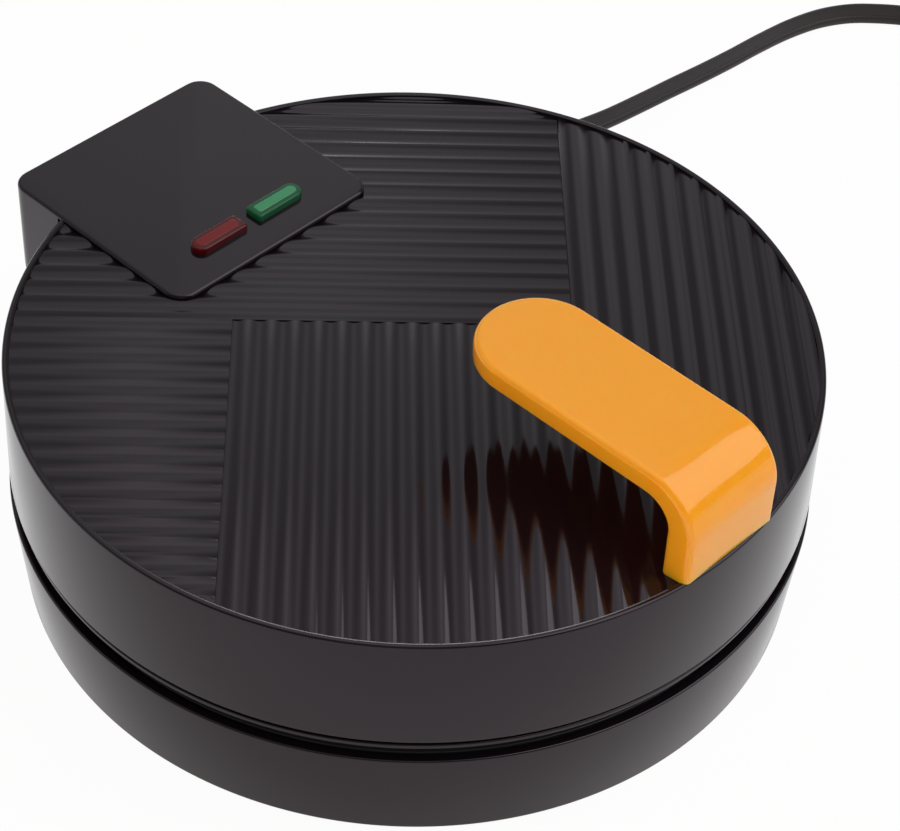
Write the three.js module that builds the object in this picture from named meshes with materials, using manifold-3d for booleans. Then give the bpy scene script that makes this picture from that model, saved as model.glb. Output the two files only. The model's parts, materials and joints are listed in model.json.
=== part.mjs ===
// Cupcake maker: a round countertop cooker with a ribbed hinged lid, an orange arched handle,
// two cooking plates with seven cups, and a flat mains lead that ends in a small coil and a plug.
// Millimetres, Z up, -Y to the front (handle), +Y to the hinge. Sizes are written from the body's
// axis and the floor; the outer group moves the middle of the whole length over the origin.
import * as THREE from "three";
import { mergeVertices } from "three/addons/utils/BufferGeometryUtils.js";
import Module from "manifold-3d";

const wasm = await Module();
wasm.setup();

// Shared fits and facets
const fit_gap = 0.3;
const through = 1;
const body_segments = 60;
const cup_segments = 16;
const reflector_segments = 36;
const barrel_segments = 24;
const round_segments = 16;
const slender_segments = 12;
const shank_segments = 10;
const section_sides = 8;
const wire_sides = 6;
const corner_segments = 4;
const handle_tip_segments = 12;
const lens_end_facets = 6;

// Body: the largest radius sets every place across it
const body_radius = 103.6;
const base_draft = 2.3;
const lid_setback = 0.4;
const lid_draft = 0.7;
const base_top_radius = body_radius;
const base_bottom_radius = body_radius - base_draft;
const lid_lower_radius = body_radius - lid_setback;
const rim_radius = lid_lower_radius - lid_draft;
const base_bottom_z = 4;
const base_height = 28.2;
const base_top_z = base_bottom_z + base_height;
const seam_height = 6.2;
const lid_lower_z = base_top_z + seam_height;
const lid_height = 32.6;
const rim_top_z = lid_lower_z + lid_height;
const face_drop = 0.9;
const lid_face_z = rim_top_z - face_drop;
const face_thickness = 3.1;
const cover_seat_drop = 1.8;
const cover_seat_z = rim_top_z - cover_seat_drop;
const lid_ceiling_z = lid_face_z - face_thickness;
const base_edge_round = 1.6;
const base_wall = 2.4;
const lid_wall = 2.2;
const rim_round = 0.6;
const lip_width = 1.6;

// Ribs on the lid: u and v run along the two diagonals of the lid
const rib_pitch = 5.9;
const rib_height = 0.45;
const rib_flank_share = 0.3;
const zone_left_share = 0.444;
const zone_right_share = 0.3832;
const zone_split_share = 0.0637;
const zone_left_u = -zone_left_share * body_radius;
const zone_right_u = zone_right_share * body_radius;
const zone_split_v = zone_split_share * body_radius;
const rib_phase_u = 2.1;
const rib_phase_v = -1.1;
const zone_turn = -Math.PI / 4;

// Hinge
const hinge_set_out = 2.9;
const hinge_rise = 12.6;
const hinge_y = body_radius + hinge_set_out;
const hinge_z = lid_lower_z + hinge_rise;
const barrel_radius = 8.2;
const barrel_half_width = 20;
const lug_radius = 8;
const lug_inner_x = 21.2;
const lug_thickness = 6;
const lug_outer_x = lug_inner_x + lug_thickness;
const lug_front_reach = 9;
const lug_top_reach = 1.5;
const lug_front_y = hinge_y - lug_front_reach;
const lug_top_y = hinge_y + lug_top_reach;
const lug_top_z = lid_ceiling_z - through;
const pin_radius = 2;
const pin_end_reach = 2.2;
const pin_half_length = lug_outer_x + pin_end_reach;
const pin_running_gap = 0.1;
const neck_front_reach = 5.3;
const neck_rear_reach = 4.5;
const neck_front_y = hinge_y - neck_front_reach;
const neck_rear_y = hinge_y + neck_rear_reach;
const neck_side_gap = 0.8;
const neck_slot_half = barrel_half_width + neck_side_gap;
const neck_slot_front_reach = 11.5;
const neck_slot_front_y = hinge_y - neck_slot_front_reach;
const neck_slot_rise = 12;
const neck_slot_top_z = hinge_z + neck_slot_rise;
const lid_angle = 0;

// Hinge cover
const cover_half_width = 34.2;
const cover_front_share = 0.48166;
const cover_rear_reach = 11;
const cover_rise = 0.7;
const cover_front_y = cover_front_share * body_radius;
const cover_rear_y = hinge_y + cover_rear_reach;
const cover_top_z = rim_top_z + cover_rise;
const cover_wall = 2.4;
const cover_corner = 5.5;
const cover_slot_half = 20.5;
const cover_slot_rise = 9;
const cover_slot_top_z = hinge_z + cover_slot_rise;
const cover_screw_x = 24;
const cover_screw_set_back = 30.1;
const cover_screw_y = cover_front_y + cover_screw_set_back;
const cover_skin = 0.9;
const cover_screw_tip_z = cover_top_z - cover_skin;

// Rear block of the base, where the lead leaves
const block_half_width = 30;
const block_front_reach = 15.6;
const block_rear_reach = 9.4;
const block_top_drop = 1.2;
const block_front_y = body_radius - block_front_reach;
const block_rear_y = body_radius + block_rear_reach;
const block_top_z = base_top_z - block_top_drop;
const block_corner = 3;

// Handle
const handle_half_width = 15.8;
const handle_tip_share = 0.3861;
const handle_rise = 25.8;
const handle_slab = 6.5;
const handle_leg = 7.8;
const handle_set_in = 0.8;
const handle_tip_centre_y = -handle_tip_share * body_radius;
const handle_top_z = rim_top_z + handle_rise;
const handle_under_z = handle_top_z - handle_slab;
const handle_outer_bend = 13.8;
const handle_inner_bend = 7.4;
const handle_outer_y = -(rim_radius - handle_set_in);
const handle_inner_y = handle_outer_y + handle_leg;
const handle_edge = 1.2;
const handle_screw_x = 9;
const handle_screw_set_in = 5.1;
const handle_screw_reach = 9;
const handle_screw_y = handle_outer_y + handle_screw_set_in;
const handle_screw_tip_z = rim_top_z + handle_screw_reach;

// Seam between lid and base
const collar_width = 4.4;
const collar_set_in = 1.8;
const collar_drop = 2.9;
const collar_tongue_set_in = 3.3;
const collar_tongue_rise = 3.6;
const collar_outer_radius = body_radius - collar_set_in;
const collar_inner_radius = collar_outer_radius - collar_width;
const collar_bead_round = 0.9;
const collar_bottom_z = lid_lower_z - collar_drop;
const collar_tongue_radius = body_radius - collar_tongue_set_in;
const collar_tongue_z = lid_lower_z + collar_tongue_rise;
const trim_set_in = 3.2;
const trim_width = 2.8;
const trim_height = 5.9;
const trim_outer_radius = body_radius - trim_set_in;
const trim_inner_radius = trim_outer_radius - trim_width;
const trim_top_z = base_top_z - fit_gap;
const trim_bottom_z = trim_top_z - trim_height;

// Cooking plates
const plate_thickness = 2.4;
const plate_step = 0.8;
const plates_apart = 1.3;
const lower_plate_set_in = 6.3;
const upper_plate_set_in = 6.5;
const lower_plate_top_z = base_top_z + plate_step;
const lower_plate_radius = body_radius - lower_plate_set_in;
const lower_bead_width = 2.2;
const lower_bead_height = 1;
const upper_plate_radius = body_radius - upper_plate_set_in;
const upper_plate_face_z = lower_plate_top_z + plates_apart;
const ring_cups = 6;
const cup_ring_share = 0.5792;
const cup_mouth_share = 0.2413;
const cup_bottom_share = 0.1834;
const dome_top_share = 0.1931;
const cup_depth_share = 0.709;
const dome_depth_share = 0.276;
const cup_ring_radius = cup_ring_share * body_radius;
const cup_mouth_radius = cup_mouth_share * body_radius;
const cup_bottom_radius = cup_bottom_share * body_radius;
const cup_depth = cup_depth_share * base_height;
const cup_wall = 2;
const cup_edge_round = 3;
const dome_top_radius = dome_top_share * body_radius;
const dome_depth = dome_depth_share * lid_height;
const screw_ring_share = 0.8108;
const screw_ring_radius = screw_ring_share * body_radius;
const screw_angles = [30, 150, 270];
const post_radius = 5;
const post_rise = 10.3;
const post_bore_drop = 6;
const post_bottom_z = base_bottom_z + post_rise;
const post_bore_top_z = lower_plate_top_z - post_bore_drop;
const boss_radius = 4.5;
const boss_bore_depth = 17.7;
const boss_bore_top_z = upper_plate_face_z + boss_bore_depth;

// Elements, reflectors, thermostats and terminals
const element_radius = 2.8;
const element_ring_share = 0.2896;
const element_end_share = 0.6564;
const element_ring_radius = element_ring_share * body_radius;
const element_open_angle = 24;
const element_ring_stations = 20;
const element_end_x = 3.6;
const element_neck_x = 4.4;
const element_end_y = element_end_share * body_radius;
const element_neck_y_share = 0.515;
const element_neck_rise_share = 0.9;
const element_bend_shares = [
  [0.794, 0],
  [0.691, 0.12],
  [0.603, 0.5],
];
const element_steps = 46;
const lower_terminal_rise = 11;
const upper_terminal_rise = 8.1;
const lower_terminal_z = base_bottom_z + lower_terminal_rise;
const upper_terminal_z = upper_plate_face_z + upper_terminal_rise;
const reflector_share = 0.7336;
const reflector_thickness = 0.6;
const reflector_radius = reflector_share * body_radius;
const reflector_rim = 2.6;
const thermostat_ring_share = 0.7722;
const thermostat_radius = 7;
const thermostat_ring_radius = thermostat_ring_share * body_radius;
const lower_thermostat_angle = 90;
const upper_thermostat_angle = 210;
const thermostat_height = 6.5;
const terminal_half_width = 12;
const terminal_set_in = 22.5;
const terminal_depth = 9;
const terminal_front_y = hinge_y - terminal_set_in;
const terminal_rear_y = terminal_front_y + terminal_depth;
const terminal_height = 8;
const wire_radius = 1.2;
const wire_steps = 8;
const wire_side_x = 6;
const wire_bow_x = 5;
const wire_bow_z = 1;
const wire_bow_shares = [0.26, 0.675];
const lid_wire_lead = 5;
const lid_wire_clear = 5;
const lid_wire_rise = 3.6;
const lid_wire_mid_share = 0.57;
const lid_wire_bow_x = 4.5;
const lid_wire_entry = 3;
const lamp_wire_sag = 0.6;
const inner_lead_radius = 2.2;
const inner_lead_steps = 12;
const inner_lead_straight = 4;
const inner_lead_sag = 0.4;
const inner_lead_bows = [
  [11, 4, 1],
  [6, 2.2, 0],
];

// Screws and feet
const screw_radius = 1.6;
const small_screw_radius = 1.4;
const screw_head_radius = 3.1;
const small_head_radius = 2.8;
const screw_head_height = 1.3;
const drive_width = 0.8;
const drive_depth = 0.7;
const screw_tip_gap = 1;
const plate_screw_reach = 12;
const foot_ring_share = 0.7915;
const foot_ring_radius = foot_ring_share * body_radius;
const foot_radius = 7;
const foot_chamfer = 0.8;
const foot_stem_radius = 2.7;
const foot_stem_reach = 4.4;
const foot_stem_top_z = base_bottom_z + foot_stem_reach;
const foot_angles = [45, 135, 225, 315];
const vent_ring_share = 0.8784;
const vent_ring_radius = vent_ring_share * body_radius;
const vent_length = 9;
const vent_width = 2.6;
const vent_angles = [-20, 0, 20, 160, 180, 200, 250, 290];

// Lamps on the cover
const lamp_set_back = 12.2;
const lamp_y = cover_front_y + lamp_set_back;
const lamp_half_depth = 2.9;
const lens_rise = 1.8;
const lens_top_z = cover_top_z + lens_rise;
const lens_slope = 0.7;
const lens_round = 2.9;
const green_inner_x = 2.1;
const green_outer_x = 18.6;
const red_inner_x = -2.1;
const red_outer_x = -18.6;
const lamp_window_margin = 0.9;
const neon_radius = 2.4;
const neon_inset = 2.4;
const neon_drop = 3.6;
const neon_z = lid_ceiling_z - neon_drop;
const holder_half_width = 21;
const holder_half_depth = 5.4;
const holder_height = 9;
const holder_bottom_z = lid_ceiling_z - holder_height;

// Mains lead: a flat twin lead that stands on its edge
const lead_height = 7;
const lead_thickness = 3.6;
const lead_edge_share = 0.9;
const lead_floor_gap = 0.2;
const lead_exit_set_in = 0.6;
const lead_exit_rise = 9;
const lead_exit_y = body_radius - lead_exit_set_in;
const lead_exit_z = base_bottom_z + lead_exit_rise;
const lead_steps = 36;
const boot_length = 26;
const boot_root_height = 13;
const boot_end_height = 8.6;
const boot_flat_share = 0.62;
const boot_seat_half_y = 3.4;
const boot_seat_half_z = 5;
const boot_flange_half_y = 5;
const boot_flange_half_z = 6.2;
const boot_flange_thickness = 1.8;
const coil_outer_radius = 39.5;
const coil_inner_radius = 33.7;
const coil_turns = 2.25;
const coil_inward_turns = 1;
const coil_climb_turns = 0.35;
const coil_floor_gap = 1;
const coil_layer_rise = 7.6;
const coil_entry_angle = Math.atan2(0.6, 0.8);
const coil_steps_per_turn = 24;
const tie_turn = 0.5;
const tie_width = 5;
const tie_thickness = 0.6;
const lead_end_run = 44;
const lead_end_steps = 8;
const lead_end_shares = [
  [0, 0],
  [0.16, 0],
  [0.5, 0.5],
  [0.84, 1],
  [1, 1],
];
const plug_length = 26;
const plug_width = 17;
const plug_height = 12.6;
const plug_corner = 3;
const plug_neck_length = 9;
const plug_neck_height = 9;
const plug_neck_thickness = 6;
const plug_centre_z = plug_height / 2 + lead_floor_gap;
const blade_length = 17;
const blade_height = 6.3;
const blade_thickness = 1.5;
const blade_spacing = 12.7;

// Route of the free stretch: runs along X and Y from the boot's end, and heights over the floor
const lead_centre_z = lead_floor_gap + lead_height / 2;
const coil_centre_z = coil_floor_gap + lead_height / 2;
const lead_run = [
  [0, 0, lead_exit_z],
  [9.4, 0, 12.6],
  [21.4, -0.1, 9.2],
  [35.4, -1, 5],
  [48.4, -3, lead_centre_z],
  [65.4, -7, lead_centre_z],
  [83.4, -12, lead_centre_z],
  [100.4, -17, lead_centre_z],
  [115.4, -20.6, lead_centre_z],
  [130.8, -22.7, lead_centre_z],
  [144, -24.2, lead_centre_z],
  [156.6, -25.8, lead_centre_z],
  [170.3, -27.2, lead_centre_z],
  [185, -28.3, lead_centre_z],
  [198.6, -30, lead_centre_z],
  [210.9, -33.3, lead_centre_z],
  [220.6, -38.6, lead_centre_z],
  [227.8, -45.4, lead_centre_z],
  [232.2, -50.6, lead_centre_z],
  [241.4, -62.8, lead_centre_z],
  [252.4, -77.5, 3.9],
  [260.2, -87.9, coil_centre_z],
];
const lead_start_x = block_half_width + boot_length + 2 * fit_gap;
const lead_route = lead_run.map(([x, y, z]) => [lead_start_x + x, lead_exit_y + y, z]);

// Materials from the photograph
const black_gloss = { color: 0x2a2629, roughness: 0.28, metalness: 0 };
const black_satin = { color: 0x1f1d1f, roughness: 0.5, metalness: 0 };
const orange_gloss = { color: 0xe58a22, roughness: 0.22, metalness: 0 };
const green_clear = { color: 0x4e9c6c, roughness: 0.2, metalness: 0 };
const red_clear = { color: 0x7b2a2c, roughness: 0.2, metalness: 0 };
const coated_metal = { color: 0x2b2b2d, roughness: 0.45, metalness: 0.3 };
const bright_steel = { color: 0xb9babc, roughness: 0.3, metalness: 1 };
const dull_aluminium = { color: 0xa9abad, roughness: 0.4, metalness: 1 };
const brass_metal = { color: 0xc9a864, roughness: 0.3, metalness: 1 };
const black_rubber = { color: 0x1b1a1b, roughness: 0.75, metalness: 0 };
const pale_resin = { color: 0xe6e1d6, roughness: 0.5, metalness: 0 };
const lamp_glass = { color: 0xd9c9b0, roughness: 0.1, metalness: 0 };
const red_insulation = { color: 0x9c3a32, roughness: 0.5, metalness: 0 };
const white_insulation = { color: 0xd8d4cb, roughness: 0.5, metalness: 0 };

const degrees = (angle) => (angle * Math.PI) / 180;

// Joining and cutting
function solid_of(geometry) {
  const bare = geometry.clone();
  bare.deleteAttribute("normal");
  bare.deleteAttribute("uv");
  const merged = mergeVertices(bare, 1e-4);
  return new wasm.Manifold(
    new wasm.Mesh({
      numProp: 3,
      vertProperties: new Float32Array(merged.attributes.position.array),
      triVerts: new Uint32Array(merged.index.array),
    }),
  );
}

function geometry_of(solid) {
  const mesh = solid.getMesh();
  const geometry = new THREE.BufferGeometry();
  const positions = new THREE.BufferAttribute(new Float32Array(mesh.vertProperties), 3);
  geometry.setAttribute("position", positions);
  geometry.setIndex(new THREE.BufferAttribute(new Uint32Array(mesh.triVerts), 1));
  const faceted = geometry.toNonIndexed();
  faceted.computeVertexNormals();
  return faceted;
}

function join(...pieces) {
  const solids = pieces.flat(2).map(solid_of);
  return geometry_of(solids.reduce((whole, piece) => whole.add(piece)));
}

function cut(body, ...tools) {
  const solids = tools.flat(2).map(solid_of);
  return geometry_of(solids.reduce((rest, tool) => rest.subtract(tool), solid_of(body)));
}

function common(first, second) {
  return geometry_of(solid_of(first).intersect(solid_of(second)));
}

// Plain shapes
function box(x0, x1, y0, y1, z0, z1) {
  const geometry = new THREE.BoxGeometry(x1 - x0, y1 - y0, z1 - z0);
  return geometry.translate((x0 + x1) / 2, (y0 + y1) / 2, (z0 + z1) / 2);
}

function turned(outline, segments = body_segments) {
  const area = outline.reduce((sum, [r, z], i) => {
    const [next_r, next_z] = outline[(i + 1) % outline.length];
    return sum + r * next_z - next_r * z;
  }, 0);
  const ordered = area > 0 ? outline : [...outline].reverse();
  const closed = ordered[0][0] === 0 ? ordered : [...ordered, ordered[0]];
  const points = closed.map(([r, z]) => new THREE.Vector2(r, z));
  return new THREE.LatheGeometry(points, segments).rotateX(Math.PI / 2);
}

function disc(radius, z0, z1, segments = round_segments) {
  return turned([[0, z0], [radius, z0], [radius, z1], [0, z1]], segments);
}

function ring(inner, outer, z0, z1, segments = body_segments) {
  return turned([[inner, z0], [outer, z0], [outer, z1], [inner, z1]], segments);
}

function rod_along_x(radius, x0, x1, y, z, segments = round_segments) {
  return disc(radius, x0, x1, segments).rotateY(Math.PI / 2).translate(0, y, z);
}

function outline_shape(points) {
  return new THREE.Shape(points.map(([a, b]) => new THREE.Vector2(a, b)));
}

function rounded_shape(x0, x1, y0, y1, radius) {
  const shape = new THREE.Shape();
  shape.moveTo(x0 + radius, y0);
  shape.absarc(x1 - radius, y0 + radius, radius, -Math.PI / 2, 0, false);
  shape.absarc(x1 - radius, y1 - radius, radius, 0, Math.PI / 2, false);
  shape.absarc(x0 + radius, y1 - radius, radius, Math.PI / 2, Math.PI, false);
  shape.absarc(x0 + radius, y0 + radius, radius, Math.PI, 1.5 * Math.PI, false);
  return shape;
}

function slab(shape, z0, z1) {
  const settings = { depth: z1 - z0, bevelEnabled: false, curveSegments: corner_segments };
  return new THREE.ExtrudeGeometry(shape, settings).translate(0, 0, z0);
}

// Edges eased by the given size on both ends, inside the outline
function eased_slab(shape, z0, z1, ease, steps = 2) {
  const settings = {
    depth: z1 - z0 - 2 * ease,
    bevelThickness: ease,
    bevelSize: ease,
    bevelOffset: -ease,
    bevelSegments: steps,
    curveSegments: corner_segments,
  };
  return new THREE.ExtrudeGeometry(shape, settings).translate(0, 0, z0 + ease);
}

// The outline's axes become Y and Z, and its depth runs along X
function turn_to_x(geometry) {
  const axes = new THREE.Matrix4().makeBasis(
    new THREE.Vector3(0, 1, 0),
    new THREE.Vector3(0, 0, 1),
    new THREE.Vector3(1, 0, 0),
  );
  return geometry.applyMatrix4(axes);
}

function on_circle(geometry, radius, angle) {
  const turn = degrees(angle);
  return geometry.clone().translate(radius * Math.cos(turn), radius * Math.sin(turn), 0);
}

function on_screw_ring(geometry) {
  return screw_angles.map((angle) => on_circle(geometry, screw_ring_radius, angle));
}

function round_section(radius, sides = section_sides) {
  const corners = Array.from({ length: sides }, (_, i) => {
    const turn = (2 * Math.PI * i) / sides;
    return [radius * Math.cos(turn), radius * Math.sin(turn)];
  });
  return outline_shape(corners);
}

function tube(points, section, steps) {
  const stations = points.map((point) => new THREE.Vector3(...point));
  const path = new THREE.CatmullRomCurve3(stations, false, "centripetal");
  return new THREE.ExtrudeGeometry(section, { steps, extrudePath: path, bevelEnabled: false });
}

// A screw whose head is at the bottom and whose tip points up
function screw_up(head_z, tip_z, shank_radius, head_radius) {
  const head = disc(head_radius, head_z, head_z + screw_head_height);
  const shank = disc(shank_radius, head_z, tip_z, shank_segments);
  const half = drive_width / 2;
  const slot = box(-head_radius, head_radius, -half, half, head_z - through, head_z + drive_depth);
  return cut(join(head, shank), slot);
}

function screw_hole(radius, z0, z1) {
  return disc(radius + fit_gap, z0, z1, slender_segments);
}

// Base moulding
function base_body() {
  const inner_top = base_top_radius - base_wall;
  const inner_bottom = base_bottom_radius - base_wall;
  const floor_top_z = base_bottom_z + base_wall;
  const small_round = base_edge_round / 3;
  return turned([
    [0, base_bottom_z],
    [base_bottom_radius - base_edge_round, base_bottom_z],
    [base_bottom_radius - small_round, base_bottom_z + small_round],
    [base_bottom_radius, base_bottom_z + base_edge_round],
    [base_top_radius, base_top_z - small_round],
    [base_top_radius - small_round, base_top_z],
    [inner_top, base_top_z],
    [inner_bottom, floor_top_z],
    [0, floor_top_z],
  ]);
}

function rear_block(inset, bottom_z, top_z) {
  const outline = rounded_shape(
    -block_half_width + inset,
    block_half_width - inset,
    block_front_y,
    block_rear_y - inset,
    block_corner,
  );
  return slab(outline, bottom_z, top_z);
}

function block_outside_body() {
  const body = turned([
    [0, base_bottom_z - through],
    [base_bottom_radius - base_wall / 2, base_bottom_z - through],
    [base_top_radius - base_wall / 2, base_top_z],
    [0, base_top_z],
  ]);
  return cut(rear_block(0, base_bottom_z, block_top_z), body);
}

function hinge_neck() {
  const half = barrel_half_width;
  const neck = box(-half, half, neck_front_y, neck_rear_y, block_top_z - base_wall, hinge_z);
  const barrel = rod_along_x(barrel_radius, -half, half, hinge_y, hinge_z, barrel_segments);
  return [neck, barrel];
}

function floor_openings() {
  const low_z = base_bottom_z - through;
  const floor_top_z = base_bottom_z + base_wall;
  const head_seat_z = base_bottom_z + fit_gap + screw_head_height + fit_gap;
  const shank_holes = on_screw_ring(screw_hole(screw_radius, low_z, post_bottom_z));
  const head_seats = on_screw_ring(screw_hole(screw_head_radius, low_z, head_seat_z));
  const stem_hole = disc(foot_stem_radius + fit_gap, low_z, floor_top_z + through);
  const stem_holes = foot_angles.map((angle) => on_circle(stem_hole, foot_ring_radius, angle));
  const half_width = vent_width / 2;
  const half_length = vent_length / 2;
  const vents = vent_angles.map((angle) => {
    const slot = box(-half_width, half_width, -half_length, half_length, low_z, floor_top_z + through);
    return on_circle(slot.rotateZ(degrees(angle)), vent_ring_radius, angle);
  });
  return [shank_holes, head_seats, stem_holes, vents].flat();
}

function base_shell() {
  const floor_top_z = base_bottom_z + base_wall;
  const bosses = on_screw_ring(disc(post_radius, base_bottom_z, post_bottom_z - fit_gap));
  const hollow = rear_block(base_wall, floor_top_z, block_top_z - base_wall);
  const pin_reach = barrel_half_width + through;
  const pin_bore = rod_along_x(pin_radius + pin_running_gap, -pin_reach, pin_reach, hinge_y, hinge_z);
  const lead_hole = box(
    block_half_width - base_wall - through,
    block_half_width + through,
    lead_exit_y - boot_seat_half_y,
    lead_exit_y + boot_seat_half_y,
    lead_exit_z - boot_seat_half_z,
    lead_exit_z + boot_seat_half_z,
  );
  const moulding = join(base_body(), block_outside_body(), hinge_neck(), bosses);
  return cut(moulding, hollow, floor_openings(), pin_bore, lead_hole);
}

function foot() {
  const top_z = base_bottom_z - fit_gap;
  const pad = turned(
    [[0, 0], [foot_radius - foot_chamfer, 0], [foot_radius, foot_chamfer], [foot_radius, top_z], [0, top_z]],
    round_segments,
  );
  return join(pad, disc(foot_stem_radius, 0, foot_stem_top_z, slender_segments));
}

function base_trim_ring() {
  return ring(trim_inner_radius, trim_outer_radius, trim_bottom_z, trim_top_z);
}

// Cooking plates: a cup is drawn downwards from the plate and a dome upwards
function bowl(mouth_radius, end_radius, depth, face_z, way, grown) {
  const reach = depth + grown;
  const slope = (mouth_radius - end_radius) / depth;
  const wall_radius = (level) => mouth_radius + grown - slope * level;
  const points = [
    [0, -through],
    [mouth_radius + grown, -through],
    [mouth_radius + grown, 0],
    [wall_radius(reach - cup_edge_round), reach - cup_edge_round],
    [wall_radius(reach) - cup_edge_round, reach],
    [0, reach],
  ];
  return turned(points.map(([r, level]) => [r, face_z + way * level]), cup_segments);
}

function on_cup_places(geometry) {
  const step = 360 / ring_cups;
  const numbers = Array.from({ length: ring_cups }, (_, i) => i);
  const around = numbers.map((i) => on_circle(geometry, cup_ring_radius, step * i));
  return [geometry, ...around];
}

function lower_plate() {
  const under_z = lower_plate_top_z - plate_thickness;
  const bead_top_z = lower_plate_top_z + lower_bead_height;
  const bead_inner = lower_plate_radius - lower_bead_width;
  const flange = turned([
    [0, under_z],
    [lower_plate_radius, under_z],
    [lower_plate_radius, bead_top_z],
    [bead_inner, bead_top_z],
    [bead_inner, lower_plate_top_z],
    [0, lower_plate_top_z],
  ]);
  const cup = bowl(cup_mouth_radius, cup_bottom_radius, cup_depth, lower_plate_top_z, -1, 0);
  const outside_z = lower_plate_top_z - cup_wall / 2;
  const outside = bowl(cup_mouth_radius, cup_bottom_radius, cup_depth, outside_z, -1, cup_wall);
  const posts = on_screw_ring(disc(post_radius, post_bottom_z, under_z + through));
  const bores = on_screw_ring(screw_hole(screw_radius, post_bottom_z - through, post_bore_top_z));
  const below_face = disc(2 * cup_mouth_radius, 0, lower_plate_top_z - fit_gap);
  const walls = on_cup_places(common(outside, below_face));
  return cut(join(flange, walls, posts), on_cup_places(cup), bores);
}

function upper_plate() {
  const back_z = upper_plate_face_z + plate_thickness;
  const flange = disc(upper_plate_radius, upper_plate_face_z, back_z, body_segments);
  const dome = bowl(cup_mouth_radius, dome_top_radius, dome_depth, upper_plate_face_z, 1, cup_wall);
  const above_face = disc(2 * cup_mouth_radius, upper_plate_face_z + fit_gap, back_z + 2 * dome_depth);
  const walls = on_cup_places(common(dome, above_face));
  const hollow = bowl(cup_mouth_radius, dome_top_radius, dome_depth, upper_plate_face_z, 1, 0);
  const head_seat_z = upper_plate_face_z + screw_head_height + fit_gap;
  const seats = on_screw_ring(screw_hole(screw_head_radius, upper_plate_face_z - through, head_seat_z));
  const holes = on_screw_ring(screw_hole(screw_radius, upper_plate_face_z, back_z + through));
  return cut(join(flange, walls), on_cup_places(hollow), seats, holes);
}

// Tubular element: two straight ends to the rear and an almost full ring
function element(ring_z, end_z) {
  const height = (share) => end_z + (ring_z - end_z) * share;
  const ends = (side) => [
    [side * element_end_x, element_end_y, end_z],
    ...element_bend_shares.map(([y, rise]) => [side * element_end_x, y * element_end_y, height(rise)]),
    [side * element_neck_x, element_neck_y_share * element_end_y, height(element_neck_rise_share)],
  ];
  const first = 90 + element_open_angle;
  const sweep = 360 - 2 * element_open_angle;
  const around = Array.from({ length: element_ring_stations + 1 }, (_, i) => {
    const turn = degrees(first + (sweep * i) / element_ring_stations);
    return [element_ring_radius * Math.cos(turn), element_ring_radius * Math.sin(turn), ring_z];
  });
  const points = [...ends(-1), ...around, ...ends(1).reverse()];
  return tube(points, round_section(element_radius), element_steps);
}

function lower_element() {
  return element(lower_plate_top_z - plate_thickness - fit_gap - element_radius, lower_terminal_z);
}

function upper_element() {
  return element(upper_plate_face_z + plate_thickness + fit_gap + element_radius, upper_terminal_z);
}

function reflector(bottom_z) {
  const inner = reflector_radius - reflector_thickness;
  return turned([
    [0, bottom_z],
    [reflector_radius, bottom_z],
    [reflector_radius, bottom_z + reflector_rim],
    [inner, bottom_z + reflector_rim],
    [inner, bottom_z + reflector_thickness],
    [0, bottom_z + reflector_thickness],
  ], reflector_segments);
}

function thermostat(low_z, angle) {
  const can = disc(thermostat_radius, low_z, low_z + thermostat_height);
  return on_circle(can, thermostat_ring_radius, angle);
}

function terminal_block(low_z) {
  const half = terminal_half_width;
  return box(-half, half, terminal_front_y, terminal_rear_y, low_z, low_z + terminal_height);
}

function wire(points) {
  return tube(points, round_section(wire_radius, wire_sides), wire_steps);
}

// Lid moulding
function lid_body() {
  const wall_radius = lid_lower_radius - lid_wall;
  return turned([
    [lid_lower_radius, lid_lower_z],
    [rim_radius, rim_top_z - rim_round],
    [rim_radius - rim_round, rim_top_z],
    [rim_radius - lip_width, rim_top_z],
    [rim_radius - lip_width, lid_face_z],
    [0, lid_face_z],
    [0, lid_ceiling_z],
    [wall_radius - fit_gap, lid_ceiling_z],
    [wall_radius, lid_lower_z],
  ]);
}

// A corrugated sheet whose ribs run along v and follow each other along u
function rib_sheet(phase) {
  const reach = rim_radius;
  const first = Math.floor(-reach / rib_pitch);
  const count = 2 * Math.abs(first) + 1;
  const low_z = lid_face_z - rib_height;
  const top_z = lid_face_z + rib_height;
  const flank = rib_flank_share * rib_pitch;
  const crests = Array.from({ length: count }, (_, i) => {
    const left = (first + i) * rib_pitch + phase;
    const right = left + rib_pitch;
    return [[left, lid_face_z], [left + flank, top_z], [right - flank, top_z]];
  }).flat();
  const [start] = crests;
  const end_u = start[0] + count * rib_pitch;
  const corners = [[start[0], low_z], ...crests, [end_u, lid_face_z], [end_u, low_z]];
  const profile = outline_shape(corners.reverse());
  const sheet = slab(profile, -reach, reach);
  const axes = new THREE.Matrix4().makeBasis(
    new THREE.Vector3(1, 0, 0),
    new THREE.Vector3(0, 0, 1),
    new THREE.Vector3(0, -1, 0),
  );
  return sheet.applyMatrix4(axes);
}

function zone_slab(u0, u1, v0, v1) {
  const low_z = lid_face_z - rib_height / 2;
  return box(u0, u1, v0, v1, low_z, rim_top_z);
}

function lid_ribs() {
  const reach = rim_radius;
  const along_v = rib_sheet(rib_phase_u);
  const along_u = rib_sheet(rib_phase_v).rotateZ(Math.PI / 2);
  const v_zones = join(
    zone_slab(zone_left_u, zone_right_u, -reach, zone_split_v),
    zone_slab(zone_right_u, reach, -reach, reach),
  );
  const u_zones = join(
    zone_slab(-reach, zone_left_u, -reach, reach),
    zone_slab(-reach, zone_right_u, zone_split_v, reach),
  );
  const face = disc(rim_radius - lip_width / 2, lid_ceiling_z, rim_top_z, body_segments);
  const ribs = join(common(along_v, v_zones), common(along_u, u_zones));
  return common(ribs.rotateZ(zone_turn), face);
}

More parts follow.
